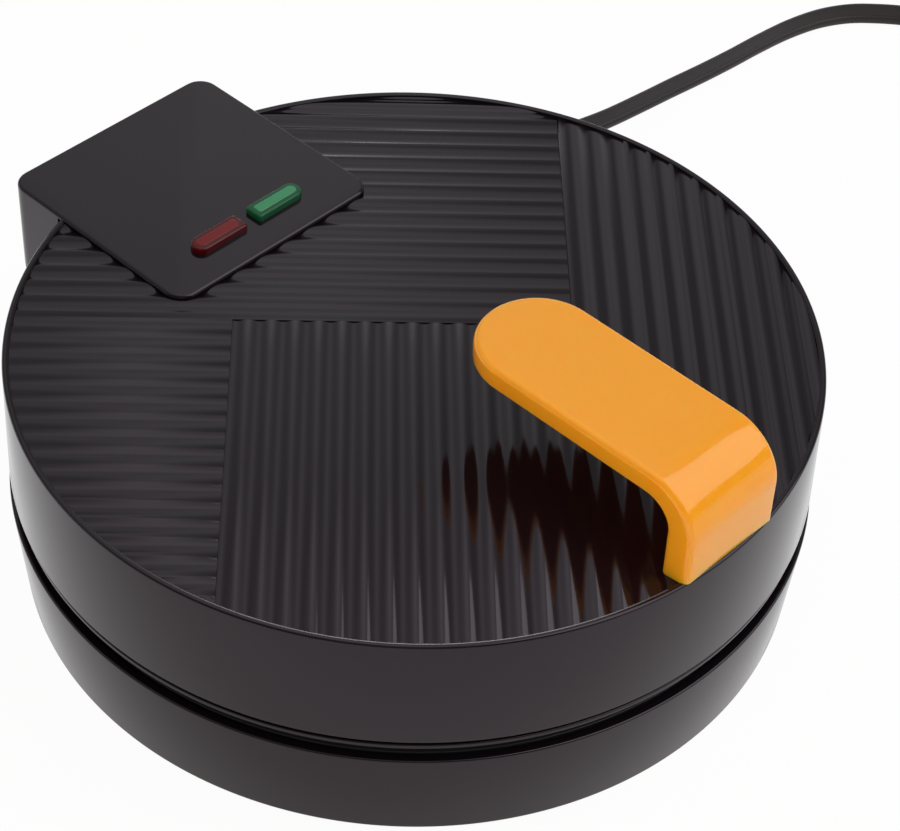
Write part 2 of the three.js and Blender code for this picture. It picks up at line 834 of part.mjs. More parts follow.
function cover_footprint(grown) {
  return rounded_shape(
    -cover_half_width - grown,
    cover_half_width + grown,
    cover_front_y - grown,
    cover_rear_y + grown,
    cover_corner + grown,
  );
}

function hinge_lug(side) {
  const inner_x = side > 0 ? lug_inner_x : -lug_outer_x;
  const outer_x = side > 0 ? lug_outer_x : -lug_inner_x;
  const low_z = hinge_z - lug_radius;
  const web = outline_shape([
    [lug_front_y, low_z],
    [hinge_y, low_z],
    [hinge_y + lug_radius, hinge_z],
    [lug_top_y, lug_top_z],
    [lug_front_y, lug_top_z],
  ]);
  const eye = rod_along_x(lug_radius, inner_x, outer_x, hinge_y, hinge_z, barrel_segments);
  return [turn_to_x(slab(web, inner_x, outer_x)), eye];
}

function lamp_window(inner_x, outer_x) {
  const x0 = Math.min(inner_x, outer_x) + lamp_window_margin;
  const x1 = Math.max(inner_x, outer_x) - lamp_window_margin;
  const half = lamp_half_depth - lamp_window_margin;
  return box(x0, x1, lamp_y - half, lamp_y + half, lid_ceiling_z - through, cover_seat_z + through);
}

function mirrored_places(geometry, x, y) {
  return [-x, x].map((place) => geometry.clone().translate(place, y, 0));
}

function lid_shell() {
  const boss_low_z = upper_plate_face_z + plate_thickness + fit_gap;
  const bosses = on_screw_ring(disc(boss_radius, boss_low_z, lid_ceiling_z + through));
  const boss_bores = on_screw_ring(screw_hole(screw_radius, boss_low_z - through, boss_bore_top_z));
  const cover_room = slab(cover_footprint(fit_gap), cover_seat_z, rim_top_z + through);
  const ribs = cut(lid_ribs(), handle_seat(), cover_room);
  const neck_slot = box(
    -neck_slot_half,
    neck_slot_half,
    neck_slot_front_y,
    cover_rear_y,
    lid_lower_z - through,
    neck_slot_top_z,
  );
  const bore_half = cover_half_width;
  const lug_bore = rod_along_x(pin_radius + pin_running_gap, -bore_half, bore_half, hinge_y, hinge_z);
  const small_hole = screw_hole(small_screw_radius, lid_ceiling_z - through, lid_face_z + through);
  const holes = [
    mirrored_places(small_hole, handle_screw_x, handle_screw_y),
    mirrored_places(small_hole, cover_screw_x, cover_screw_y),
  ];
  const windows = [lamp_window(green_inner_x, green_outer_x), lamp_window(red_inner_x, red_outer_x)];
  const plain = cut(lid_body(), cover_room, neck_slot);
  const moulding = join(plain, ribs, bosses, hinge_lug(-1), hinge_lug(1));
  return cut(moulding, boss_bores, lug_bore, holes, windows);
}

// The ribs end round the foot of the handle
function handle_seat() {
  const half = handle_half_width + fit_gap;
  return box(-half, half, handle_outer_y, handle_inner_y + fit_gap, lid_face_z - through, rim_top_z);
}

// Hinge cover: a flat cap with side and rear walls outside the lid
function cover_side(inset) {
  const shape = new THREE.Shape();
  const rear_y = cover_rear_y - inset;
  const round = rear_y - hinge_y;
  shape.moveTo(lug_front_y - 2 * cover_wall, cover_top_z - cover_wall / 2);
  shape.lineTo(lug_front_y - 2 * cover_wall, hinge_z - round);
  shape.lineTo(hinge_y, hinge_z - round);
  shape.absarc(hinge_y, hinge_z, round, -Math.PI / 2, 0, false);
  shape.lineTo(rear_y, cover_top_z - cover_wall / 2);
  return shape;
}

function hinge_cover() {
  const under_z = cover_seat_z + fit_gap;
  const inner_half = cover_half_width - cover_wall;
  const plate = slab(cover_footprint(0), under_z, cover_top_z);
  const walls = common(
    turn_to_x(slab(cover_side(0), -cover_half_width, cover_half_width)),
    slab(cover_footprint(0), 0, cover_top_z),
  );
  const rear_inside_y = cover_rear_y - cover_wall;
  const hollow = box(-inner_half, inner_half, cover_front_y, hinge_y + lug_radius / 2, 0, under_z);
  const rear_hollow = common(
    turn_to_x(slab(cover_side(cover_wall), -inner_half, inner_half)),
    box(-inner_half, inner_half, cover_front_y, rear_inside_y, 0, under_z),
  );
  const body_room = turned([
    [0, 0],
    [lid_lower_radius + fit_gap, 0],
    [lid_lower_radius + fit_gap, lid_lower_z],
    [rim_radius + fit_gap, under_z],
    [0, under_z],
  ]);
  const slot = box(-cover_slot_half, cover_slot_half, hinge_y, cover_rear_y + through, 0, cover_slot_top_z);
  const lens_holes = [
    lens_outline(green_inner_x, green_outer_x, fit_gap),
    lens_outline(red_inner_x, red_outer_x, fit_gap),
  ].map((outline) => slab(outline, under_z - through, cover_top_z + through));
  const bore = screw_hole(small_screw_radius, under_z - through, cover_screw_tip_z + fit_gap);
  const bores = mirrored_places(bore, cover_screw_x, cover_screw_y);
  return cut(join(plate, walls), hollow, rear_hollow, body_room, slot, lens_holes, bores);
}

// A lens is squared at its inner end and rounded at its outer end
function lens_outline(inner_x, outer_x, grown) {
  const way = Math.sign(outer_x - inner_x);
  const half = lamp_half_depth + grown;
  const round = lens_round + grown;
  const start = inner_x - way * grown;
  const centre = outer_x - way * lens_round;
  const rounded_end = Array.from({ length: lens_end_facets + 1 }, (_, i) => {
    const turn = -Math.PI / 2 + (Math.PI * i) / lens_end_facets;
    return [centre + way * round * Math.cos(turn), lamp_y + half * Math.sin(turn)];
  });
  const points = [[start, lamp_y - half], ...rounded_end, [start, lamp_y + half]];
  return outline_shape(way > 0 ? points : points.reverse());
}

function lens(inner_x, outer_x) {
  return eased_slab(lens_outline(inner_x, outer_x, 0), cover_seat_z + fit_gap, lens_top_z, lens_slope);
}

function neon_lamp(inner_x, outer_x) {
  const x0 = Math.min(inner_x, outer_x) + neon_inset;
  const x1 = Math.max(inner_x, outer_x) - neon_inset;
  return rod_along_x(neon_radius, x0, x1, lamp_y, neon_z, slender_segments);
}

function lamp_holder() {
  const top_z = lid_ceiling_z - fit_gap;
  const front_y = lamp_y - holder_half_depth;
  const rear_y = lamp_y + holder_half_depth;
  const body = box(-holder_half_width, holder_half_width, front_y, rear_y, holder_bottom_z, top_z);
  const trough_half = neon_radius + fit_gap;
  const troughs = [[green_inner_x, green_outer_x], [red_inner_x, red_outer_x]].map(([inner_x, outer_x]) => {
    const x0 = Math.min(inner_x, outer_x) + neon_inset - fit_gap;
    const x1 = Math.max(inner_x, outer_x) - neon_inset + fit_gap;
    return box(x0, x1, lamp_y - trough_half, lamp_y + trough_half, neon_z - trough_half, top_z + through);
  });
  return cut(body, troughs);
}

// Handle: one bent bar with a round free end, standing on the front of the rim
function handle_side() {
  const outer_centre_y = handle_outer_y + handle_outer_bend;
  const outer_centre_z = handle_top_z - handle_outer_bend;
  const inner_centre_y = handle_inner_y + handle_inner_bend;
  const inner_centre_z = handle_under_z - handle_inner_bend;
  const tip_y = handle_tip_centre_y + handle_half_width;
  const shape = new THREE.Shape();
  shape.moveTo(handle_outer_y, lid_face_z + fit_gap);
  shape.lineTo(handle_inner_y, lid_face_z + fit_gap);
  shape.absarc(inner_centre_y, inner_centre_z, handle_inner_bend, Math.PI, Math.PI / 2, true);
  shape.lineTo(tip_y, handle_under_z);
  shape.lineTo(tip_y, handle_top_z);
  shape.absarc(outer_centre_y, outer_centre_z, handle_outer_bend, Math.PI / 2, Math.PI, false);
  return shape;
}

function handle() {
  const bar = turn_to_x(eased_slab(handle_side(), -handle_half_width, handle_half_width, handle_edge));
  const plan = new THREE.Shape();
  plan.moveTo(handle_half_width + through, handle_outer_y - through);
  plan.lineTo(handle_half_width + through, handle_tip_centre_y);
  plan.absarc(0, handle_tip_centre_y, handle_half_width, 0, Math.PI, false);
  plan.lineTo(-handle_half_width - through, handle_outer_y - through);
  const settings = { depth: 2 * handle_top_z, bevelEnabled: false, curveSegments: handle_tip_segments };
  const outline = new THREE.ExtrudeGeometry(plan, settings);
  const lip_room = ring(rim_radius - lip_width - fit_gap, 2 * rim_radius, 0, rim_top_z + fit_gap);
  const bores = mirrored_places(
    screw_hole(small_screw_radius, lid_face_z - through, handle_screw_tip_z + fit_gap),
    handle_screw_x,
    handle_screw_y,
  );
  return cut(common(bar, outline), lip_room, bores);
}

// Glossy bead under the lid's edge, with a tongue inside the lid's wall
function lid_collar() {
  const top_z = lid_lower_z - fit_gap;
  const mid_z = (collar_bottom_z + top_z) / 2;
  const bead = turned([
    [collar_inner_radius, collar_bottom_z],
    [collar_outer_radius - collar_bead_round, collar_bottom_z],
    [collar_outer_radius, mid_z],
    [collar_outer_radius - collar_bead_round, top_z],
    [collar_tongue_radius, top_z],
    [collar_tongue_radius, collar_tongue_z],
    [collar_inner_radius, collar_tongue_z],
  ]);
  const slot = box(-neck_slot_half, neck_slot_half, 0, cover_rear_y, 0, rim_top_z);
  return cut(bead, slot);
}

function hinge_pin() {
  return rod_along_x(pin_radius, -pin_half_length, pin_half_length, hinge_y, hinge_z);
}

// Flat lead, its boot, its coil and its plug
function lead_corners(grown = 0) {
  const half_height = lead_height / 2 + grown;
  const half_thickness = lead_thickness / 2 + grown;
  const edge = lead_edge_share * half_thickness;
  const quarter = [
    [half_height, half_thickness - edge],
    [half_height - edge, half_thickness],
  ];
  return [
    ...quarter,
    ...[...quarter].reverse().map(([a, b]) => [-a, b]),
    ...quarter.map(([a, b]) => [-a, -b]),
    ...[...quarter].reverse().map(([a, b]) => [a, -b]),
  ];
}

function lead_boot() {
  const wall_x = block_half_width + fit_gap;
  const inner_x = block_half_width - base_wall - fit_gap;
  const end_radius = boot_end_height / 2;
  const root_radius = boot_root_height / 2;
  const taper = new THREE.CylinderGeometry(end_radius, root_radius, boot_length, round_segments);
  taper.rotateZ(-Math.PI / 2).scale(1, boot_flat_share, 1);
  taper.translate(wall_x + boot_length / 2, lead_exit_y, lead_exit_z);
  const waist = box(
    inner_x - fit_gap,
    wall_x + fit_gap,
    lead_exit_y - boot_seat_half_y + fit_gap,
    lead_exit_y + boot_seat_half_y - fit_gap,
    lead_exit_z - boot_seat_half_z + fit_gap,
    lead_exit_z + boot_seat_half_z - fit_gap,
  );
  const flange = box(
    inner_x - boot_flange_thickness,
    inner_x,
    lead_exit_y - boot_flange_half_y,
    lead_exit_y + boot_flange_half_y,
    lead_exit_z - boot_flange_half_z,
    lead_exit_z + boot_flange_half_z,
  );
  return join(taper, waist, flange);
}

function power_cord() {
  return tube(lead_route, outline_shape(lead_corners()), lead_steps);
}

// The coil starts where the free stretch ends, one lead height and a gap further on
function coil_centre() {
  const [x, y] = lead_route[lead_route.length - 1];
  const heading = coil_heading(0);
  const straight = lead_height + fit_gap;
  return [
    x + straight * heading.x - coil_outer_radius * Math.cos(coil_entry_angle),
    y + straight * heading.y - coil_outer_radius * Math.sin(coil_entry_angle),
  ];
}

// Place and layer of the coil's centre line after a number of turns
function coil_point(turns) {
  const [centre_x, centre_y] = coil_centre();
  const bounded = Math.min(Math.max(turns, 0), coil_turns);
  const climb_end = coil_inward_turns + coil_climb_turns;
  const inward = Math.min(bounded / coil_inward_turns, 1);
  const outward = Math.max((bounded - climb_end) / (coil_turns - climb_end), 0);
  const radius = coil_outer_radius - (coil_outer_radius - coil_inner_radius) * (inward - outward);
  const climb = THREE.MathUtils.smoothstep(bounded, coil_inward_turns, climb_end);
  const angle = coil_entry_angle - 2 * Math.PI * bounded;
  return new THREE.Vector3(
    centre_x + radius * Math.cos(angle),
    centre_y + radius * Math.sin(angle),
    coil_centre_z + coil_layer_rise * climb,
  );
}

function coil_heading(turns) {
  const angle = coil_entry_angle - 2 * Math.PI * turns;
  return new THREE.Vector3(Math.sin(angle), -Math.cos(angle), 0);
}

// The wound centre line, straight for one lead height at both ends
function coil_path() {
  const steps = Math.round(coil_turns * coil_steps_per_turn);
  const wound = Array.from({ length: steps + 1 }, (_, i) => coil_point((coil_turns * i) / steps));
  const entry = wound[0].clone().addScaledVector(coil_heading(0), -lead_height);
  const exit = wound[steps].clone().addScaledVector(coil_heading(coil_turns), lead_height);
  return [entry, ...wound, exit];
}

function least_gap(path) {
  const apart = 6;
  let least = Infinity;
  path.forEach((point, i) => {
    path.slice(i + apart).forEach((other) => {
      const flat = Math.hypot(point.x - other.x, point.y - other.y) - lead_thickness;
      const upright = Math.abs(point.z - other.z) - lead_height;
      least = Math.min(least, Math.max(flat, upright));
    });
  });
  return least;
}

// One unbroken tube: a ring of corners on each station, the lead's height kept upright
function cord_coil() {
  const path = coil_path();
  const corners = lead_corners();
  const positions = [];
  path.forEach((point, i) => {
    const before = path[Math.max(i - 1, 0)];
    const after = path[Math.min(i + 1, path.length - 1)];
    const along = after.clone().sub(before).normalize();
    const side = new THREE.Vector3(-along.y, along.x, 0).normalize();
    const upright = along.clone().cross(side);
    corners.forEach(([a, b]) => {
      const corner = point.clone().addScaledVector(upright, a).addScaledVector(side, b);
      positions.push(corner.x, corner.y, corner.z);
    });
  });
  const count = corners.length;
  const faces = [];
  for (let i = 0; i < path.length - 1; i++) {
    for (let j = 0; j < count; j++) {
      const here = i * count + j;
      const beside = i * count + ((j + 1) % count);
      faces.push(here, here + count, beside, beside, here + count, beside + count);
    }
  }
  const last = (path.length - 1) * count;
  for (let j = 1; j < count - 1; j++) {
    faces.push(0, j, j + 1);
    faces.push(last, last + j + 1, last + j);
  }
  const geometry = new THREE.BufferGeometry();
  geometry.setAttribute("position", new THREE.BufferAttribute(new Float32Array(positions), 3));
  geometry.setIndex(faces);
  return geometry;
}

// A flat band round both layers of the coil
function coil_tie() {
  const first = coil_point(tie_turn);
  const second = coil_point(tie_turn + 1);
  const [centre_x, centre_y] = coil_centre();
  const centre = new THREE.Vector3(centre_x, centre_y, first.z);
  const outer = first.distanceTo(centre) + lead_thickness / 2 + 2 * fit_gap;
  const inner = second.setZ(first.z).distanceTo(centre) - lead_thickness / 2 - 2 * fit_gap;
  const low_z = coil_floor_gap - fit_gap;
  const top_z = coil_floor_gap + lead_height + coil_layer_rise + fit_gap;
  const half = tie_width / 2;
  const skin = tie_thickness;
  const band = cut(
    box(inner - skin, outer + skin, -half, half, low_z - skin, top_z + skin),
    box(inner, outer, -half - through, half + through, low_z, top_z),
  );
  const angle = coil_entry_angle - 2 * Math.PI * tie_turn;
  return band.rotateZ(angle).translate(centre_x, centre_y, 0);
}

function lead_end_start() {
  const heading = coil_heading(coil_turns);
  return coil_point(coil_turns).addScaledVector(heading, lead_height + fit_gap);
}

function lead_end() {
  const start = lead_end_start();
  const heading = coil_heading(coil_turns);
  const points = lead_end_shares.map(([run_share, drop_share]) => {
    const point = start.clone().addScaledVector(heading, lead_end_run * run_share);
    return [point.x, point.y, point.z + (plug_centre_z - start.z) * drop_share];
  });
  return tube(points, outline_shape(lead_corners()), lead_end_steps);
}

// The plug lies along +X from its neck, and its group turns it
function plug_body() {
  const start = plug_neck_length;
  const half_width = plug_width / 2;
  const half_height = plug_height / 2;
  const outline = rounded_shape(start, start + plug_length, -half_width, half_width, plug_corner);
  const body = eased_slab(outline, -half_height, half_height, plug_corner / 3, 1);
  const neck_half_y = plug_neck_thickness / 2;
  const neck_half_z = plug_neck_height / 2;
  const neck = box(0, start + plug_corner, -neck_half_y, neck_half_y, -neck_half_z, neck_half_z);
  return join(body, neck);
}

function plug_blade() {
  const start = plug_neck_length + plug_length + fit_gap;
  const half = blade_height / 2;
  const blade = rounded_shape(start, start + blade_length, -half, half, blade_thickness);
  return slab(blade, -blade_thickness / 2, blade_thickness / 2).rotateX(Math.PI / 2);
}

// Scene graph
function part(name, geometry, surface) {
  const material = new THREE.MeshStandardMaterial({ ...surface, name });
  const mesh = new THREE.Mesh(geometry, material);
  mesh.name = name;
  return mesh;
}

function placed_parts(name, geometry, places, surface) {
  return places.map(([x, y], i) => {
    const mesh = part(name + "_" + (i + 1), geometry, surface);
    mesh.position.set(x, y, 0);
    return mesh;
  });
}

function circle_places(radius, angles) {
  return angles.map(degrees).map((turn) => [radius * Math.cos(turn), radius * Math.sin(turn)]);
}

// A wire from an end of the lower element to the terminal block
function element_wire(side, wire_z) {
  const start_y = element_end_y + fit_gap;
  const end_y = terminal_front_y - fit_gap;
  const [near_y, far_y] = wire_bow_shares.map((share) => start_y + share * (end_y - start_y));
  return wire([
    [side * element_end_x, start_y, lower_terminal_z],
    [side * element_end_x, near_y, lower_terminal_z],
    [side * wire_bow_x, far_y, wire_z + wire_bow_z],
    [side * wire_side_x, end_y, wire_z],
  ]);
}

// The lead's round inner end, from the boot to the terminal block
function inner_lead(wire_z) {
  const start_x = block_half_width - base_wall - boot_flange_thickness - 2 * fit_gap;
  const end_y = terminal_rear_y + fit_gap;
  const bows = inner_lead_bows.map(([x, y, z]) => [x, lead_exit_y - lead_height + y, wire_z + z]);
  const points = [
    [start_x, lead_exit_y, lead_exit_z],
    [start_x - lead_height, lead_exit_y, lead_exit_z - inner_lead_sag],
    ...bows,
    [wire_bow_x, end_y + inner_lead_straight, wire_z],
    [wire_bow_x, end_y, wire_z],
  ];
  return tube(points, round_section(inner_lead_radius), inner_lead_steps);
}

function pair_places(x, y) {
  return [[-x, y], [x, y]];
}

function base_group() {
  const group = new THREE.Group();
  group.name = "base";
  const floor_top_z = base_bottom_z + base_wall;
  const block_low_z = floor_top_z + fit_gap;
  const wire_z = block_low_z + terminal_height / 2;
  const screw_places = circle_places(screw_ring_radius, screw_angles);
  const screw_tip_z = post_bore_top_z - screw_tip_gap;
  const plate_screw = screw_up(base_bottom_z + fit_gap, screw_tip_z, screw_radius, screw_head_radius);
  const thermostat_low_z = lower_plate_top_z - plate_thickness - fit_gap - thermostat_height;
  group.add(
    part("base_shell", base_shell(), black_gloss),
    part("base_trim_ring", base_trim_ring(), dull_aluminium),
    part("lower_plate", lower_plate(), coated_metal),
    part("lower_element", lower_element(), bright_steel),
    part("lower_reflector", reflector(floor_top_z + fit_gap), dull_aluminium),
    part("lower_thermostat", thermostat(thermostat_low_z, lower_thermostat_angle), bright_steel),
    part("base_terminal_block", terminal_block(block_low_z), pale_resin),
    part("live_wire", element_wire(-1, wire_z), red_insulation),
    part("neutral_wire", element_wire(1, wire_z), white_insulation),
    part("inner_lead", inner_lead(wire_z), black_satin),
    part("lead_boot", lead_boot(), black_rubber),
    part("hinge_pin", hinge_pin(), bright_steel),
    ...placed_parts("lower_plate_screw", plate_screw, screw_places, bright_steel),
    ...placed_parts("foot", foot(), circle_places(foot_ring_radius, foot_angles), black_rubber),
  );
  return group;
}

// A wire from an end of the upper element, past the reflector, up to the terminal block
function lid_wire(side, block_low_z) {
  const start_y = element_end_y + fit_gap;
  const end_y = terminal_front_y + lid_wire_entry;
  const end_z = block_low_z - fit_gap;
  const mid_z = upper_terminal_z + lid_wire_mid_share * (end_z - upper_terminal_z);
  return wire([
    [side * element_end_x, start_y, upper_terminal_z],
    [side * element_end_x, start_y + lid_wire_lead, upper_terminal_z],
    [side * lid_wire_bow_x, reflector_radius + lid_wire_clear, upper_terminal_z + lid_wire_rise],
    [side * wire_bow_x, end_y - through, mid_z],
    [side * wire_bow_x, end_y, end_z],
  ]);
}

function lamp_wire(wire_z) {
  const start_y = lamp_y + holder_half_depth + fit_gap;
  const end_y = terminal_front_y - fit_gap;
  return wire([
    [0, start_y, wire_z],
    [0, (start_y + end_y) / 2, wire_z - lamp_wire_sag],
    [0, end_y, wire_z],
  ]);
}

function lid_parts() {
  const ceiling_z = lid_ceiling_z - fit_gap;
  const head_z = ceiling_z - screw_head_height;
  const terminal_low_z = ceiling_z - terminal_height;
  const lamp_wire_z = ceiling_z - terminal_height / 2;
  const handle_screw = screw_up(head_z, handle_screw_tip_z, small_screw_radius, small_head_radius);
  const cover_screw = screw_up(head_z, cover_screw_tip_z, small_screw_radius, small_head_radius);
  const face_z = upper_plate_face_z;
  const screw_places = circle_places(screw_ring_radius, screw_angles);
  const plate_screw = screw_up(face_z, face_z + plate_screw_reach, screw_radius, screw_head_radius);
  const thermostat_low_z = upper_plate_face_z + plate_thickness + fit_gap;
  const reflector_low_z = upper_plate_face_z + dome_depth + cup_wall + fit_gap;
  return [
    part("lid_shell", lid_shell(), black_gloss),
    part("hinge_cover", hinge_cover(), black_gloss),
    part("handle", handle(), orange_gloss),
    part("lid_collar", lid_collar(), black_gloss),
    part("upper_plate", upper_plate(), coated_metal),
    part("upper_element", upper_element(), bright_steel),
    part("upper_reflector", reflector(reflector_low_z), dull_aluminium),
    part("upper_thermostat", thermostat(thermostat_low_z, upper_thermostat_angle), bright_steel),
    part("lid_terminal_block", terminal_block(terminal_low_z), pale_resin),
    part("lid_live_wire", lid_wire(-1, terminal_low_z), red_insulation),
    part("lid_neutral_wire", lid_wire(1, terminal_low_z), white_insulation),
    part("lamp_wire", lamp_wire(lamp_wire_z), white_insulation),
    part("lamp_holder", lamp_holder(), pale_resin),
    part("green_lamp", neon_lamp(green_inner_x, green_outer_x), lamp_glass),
    part("red_lamp", neon_lamp(red_inner_x, red_outer_x), lamp_glass),
    part("green_lens", lens(green_inner_x, green_outer_x), green_clear),
    part("red_lens", lens(red_inner_x, red_outer_x), red_clear),
    ...placed_parts("handle_screw", handle_screw, pair_places(handle_screw_x, handle_screw_y), bright_steel),
    ...placed_parts("cover_screw", cover_screw, pair_places(cover_screw_x, cover_screw_y), bright_steel),
    ...placed_parts("upper_plate_screw", plate_screw, screw_places, bright_steel),
  ];
}

// The lid turns about the hinge pin
function lid_group() {
  const pivot = new THREE.Group();
  pivot.name = "lid";
  pivot.position.set(0, hinge_y, hinge_z);
  pivot.rotation.x = -degrees(lid_angle);
  const hung = new THREE.Group();
  hung.position.set(0, -hinge_y, -hinge_z);
  hung.add(...lid_parts());
  pivot.add(hung);
  return pivot;
}

function plug_group() {
  const heading = coil_heading(coil_turns);
  const start = lead_end_start().addScaledVector(heading, lead_end_run + fit_gap);
  const group = new THREE.Group();
  group.name = "plug";
  group.position.set(start.x, start.y, plug_centre_z);
  group.rotation.z = Math.atan2(heading.y, heading.x);
  const blades = [-blade_spacing / 2, blade_spacing / 2].map((y, i) => {
    const blade = part("plug_blade_" + (i + 1), plug_blade(), brass_metal);
    blade.position.y = y;
    return blade;
  });
  group.add(part("plug_body", plug_body(), black_rubber), ...blades);
  return group;
}

function lead_group() {
  const group = new THREE.Group();
  group.name = "lead";
  group.add(
    part("power_cord", power_cord(), black_rubber),
    part("cord_coil", cord_coil(), black_rubber),
    part("coil_tie", coil_tie(), black_satin),
    part("lead_end", lead_end(), black_rubber),
    plug_group(),
  );
  return group;
}

function cupcake_maker() {
  const root = new THREE.Group();
  root.name = "cupcake_maker";
  root.position.y = -(cover_rear_y - base_top_radius) / 2;
  root.add(base_group(), lid_group(), lead_group());
  return root;
}

console.log("least gap of the coil to itself, mm:", least_gap(coil_path()).toFixed(2));

export default cupcake_maker();
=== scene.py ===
"""Looks of a round cupcake maker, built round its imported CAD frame.

Metres, +Z up, -Y to the front where the handle stands, +Y to the hinge.
"""

import json
import math

import bmesh
import bpy
import numpy as np
from mathutils import Matrix, Vector
from mathutils.geometry import delaunay_2d_cdt


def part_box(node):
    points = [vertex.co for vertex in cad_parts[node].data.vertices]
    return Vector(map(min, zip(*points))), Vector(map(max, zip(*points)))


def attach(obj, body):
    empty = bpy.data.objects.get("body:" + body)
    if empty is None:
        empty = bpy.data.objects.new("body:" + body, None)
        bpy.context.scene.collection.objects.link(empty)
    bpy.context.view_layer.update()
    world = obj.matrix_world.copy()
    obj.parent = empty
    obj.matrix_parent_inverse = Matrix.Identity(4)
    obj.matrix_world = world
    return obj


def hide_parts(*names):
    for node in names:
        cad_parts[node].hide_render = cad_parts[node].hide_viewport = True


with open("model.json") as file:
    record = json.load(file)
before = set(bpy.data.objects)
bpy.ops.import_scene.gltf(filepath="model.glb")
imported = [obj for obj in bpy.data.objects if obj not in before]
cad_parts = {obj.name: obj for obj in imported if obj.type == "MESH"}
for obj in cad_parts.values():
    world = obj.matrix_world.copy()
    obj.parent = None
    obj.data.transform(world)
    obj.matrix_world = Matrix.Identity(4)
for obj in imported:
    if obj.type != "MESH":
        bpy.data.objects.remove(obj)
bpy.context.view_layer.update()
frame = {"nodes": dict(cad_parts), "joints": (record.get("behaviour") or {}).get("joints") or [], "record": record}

bl_info = {
    "name": "Cupcake maker",
    "version": (1, 0, 0),
    "blender": (4, 5, 0),
    "location": "View3D > Sidebar > Cupcake maker",
    "description": "Builds a round cupcake maker with a ribbed lid and an orange handle",
    "category": "Add Mesh",
}

MM = 0.001
SAME_PLACE = 1e-6  # metres within which two points are one
WALL_SEGMENTS = 256  # facets round the lid's and the base's walls
PLATE_SEGMENTS = 192  # facets round the plates
CUP_SEGMENTS = 72  # facets round a cup
BORE_SEGMENTS = 48  # facets round the screws' rooms and the hinge barrel
PEG_SEGMENTS = 40  # facets round a screw or a foot
PIN_SEGMENTS = 32  # facets round the hinge pin
COIL_CENTRE = (290 * MM, -15 * MM)
COIL_ENTRY = Vector((0.6, -0.8, 0))  # the way the lead runs into its coil
COIL_EXIT = Vector((-0.8, -0.6, 0))  # the way it runs out
AWAY_FROM_CAMERA = (0.707, 0.707, 0.0)  # level, from the camera to the object
LEFT_OF_CAMERA = (-0.707, 0.707, 0.0)  # level, to the left in the picture

# Places read from the frame
hinge_axis = Vector(frame["joints"][0]["pos_m"])
plate_low, plate_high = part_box("lower_plate")
body_axis = Vector(((plate_low.x + plate_high.x) / 2, (plate_low.y + plate_high.y) / 2, 0))
cover_low, cover_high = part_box("hinge_cover")
handle_low, handle_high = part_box("handle")
_, base_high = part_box("base_shell")
green_low, green_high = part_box("green_lens")
red_low, red_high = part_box("red_lens")


def length(name, description, millimetres):
    """A length in metres whose default is given in millimetres."""
    return bpy.props.FloatProperty(
        name=name, description=description, default=millimetres * MM, min=0, unit="LENGTH", precision=5
    )


def angle(name, description, degrees):
    """An angle in radians whose default is given in degrees."""
    return bpy.props.FloatProperty(
        name=name, description=description, default=math.radians(degrees), subtype="ANGLE"
    )


def linear(hex_colour):
    """An sRGB hex colour as linear red, green and blue."""
    channels = [int(hex_colour[i : i + 2], 16) / 255 for i in (1, 3, 5)]
    return tuple(c / 12.92 if c <= 0.04045 else ((c + 0.055) / 1.055) ** 2.4 for c in channels)


def colour(name, description, hex_colour):
    """A linear colour whose default is given as an sRGB hex value."""
    return bpy.props.FloatVectorProperty(
        name=name, description=description, default=linear(hex_colour), size=3, min=0, max=1, subtype="COLOR"
    )


class BodySizes(bpy.types.PropertyGroup):
    """The round mouldings of the lid and the base."""

    rim_radius: length("Rim radius", "Outside radius of the lid at its rim", 102.5)
    rim_top: length("Rim height", "Height of the lip round the ribbed face", 71)
    rim_fillet: length("Rim edge", "Rounding of the lip's outer edge", 0.7)
    lip_width: length("Lip width", "Width of the plain lip", 1.6)
    lip_fillet: length("Lip edge", "Rounding of the lip's inner edge", 0.2)
    lip_slant: length("Lip slant", "Width of the slanted band along the lip's inner edge", 0.6)
    lip_slope: angle("Lip slope", "Slope of the slanted band", 23.4)
    lip_crease: length("Lip crease", "Rounding where the lip meets its slanted band", 0.1)
    face_height: length("Face height", "Height of the valleys between the ribs", 70.1)
    face_overlap: length("Face overlap", "Width of the wall's step under the ribbed face", 0.15)
    face_tuck: length("Face tuck", "Depth of that step under the valleys", 0.2)
    lid_radius: length("Lid radius", "Outside radius of the lid at its lower edge", 103.2)
    lid_bottom: length("Lid bottom", "Height of the lid's lower edge", 38.4)
    lid_fillet: length("Lid edge", "Rounding of the lid's lower edge", 0.6)
    lid_wall: length("Lid wall", "Thickness of the lid's wall", 2.2)
    base_radius: length("Base radius", "Outside radius of the base at its top", 103.6)
    base_foot_radius: length("Base foot radius", "Outside radius of the base at its bottom", 101.3)
    base_top: length("Base top", "Height of the base's upper edge", 32.2)
    base_bottom: length("Base bottom", "Height of the base's underside", 4)
    base_edge: length("Base edge", "Rounding of the base's upper edge", 0.5)
    base_round: length("Base foot edge", "Rounding of the base's lower edge", 1.6)
    base_wall: length("Base wall", "Thickness of the base's wall", 2.4)


class BeadSizes(bpy.types.PropertyGroup):
    """The glossy bead under the lid and the trim ring on the base."""

    outer: length("Radius", "Outside radius of the bead", 102.6)
    inner: length("Inner radius", "Inside radius of the bead", 97.4)
    bottom: length("Bottom", "Height of the bead's underside", 35.5)
    top: length("Top", "Height of the bead's upper side", 37.1)
    edge: length("Edge", "Rounding of the bead's lower edge", 0.6)
    small_edge: length("Small edge", "Rounding of the bead's other edges", 0.4)
    tongue_radius: length("Tongue radius", "Outside radius of the tongue inside the lid's wall", 100.3)
    tongue_top: length("Tongue top", "Height of the tongue's upper end", 42)
    ring_inner: length("Ring inner radius", "Inside radius of the trim ring on the base", 97.6)
    ring_edge: length("Ring edge", "Rounding of the trim ring's upper edges", 0.3)


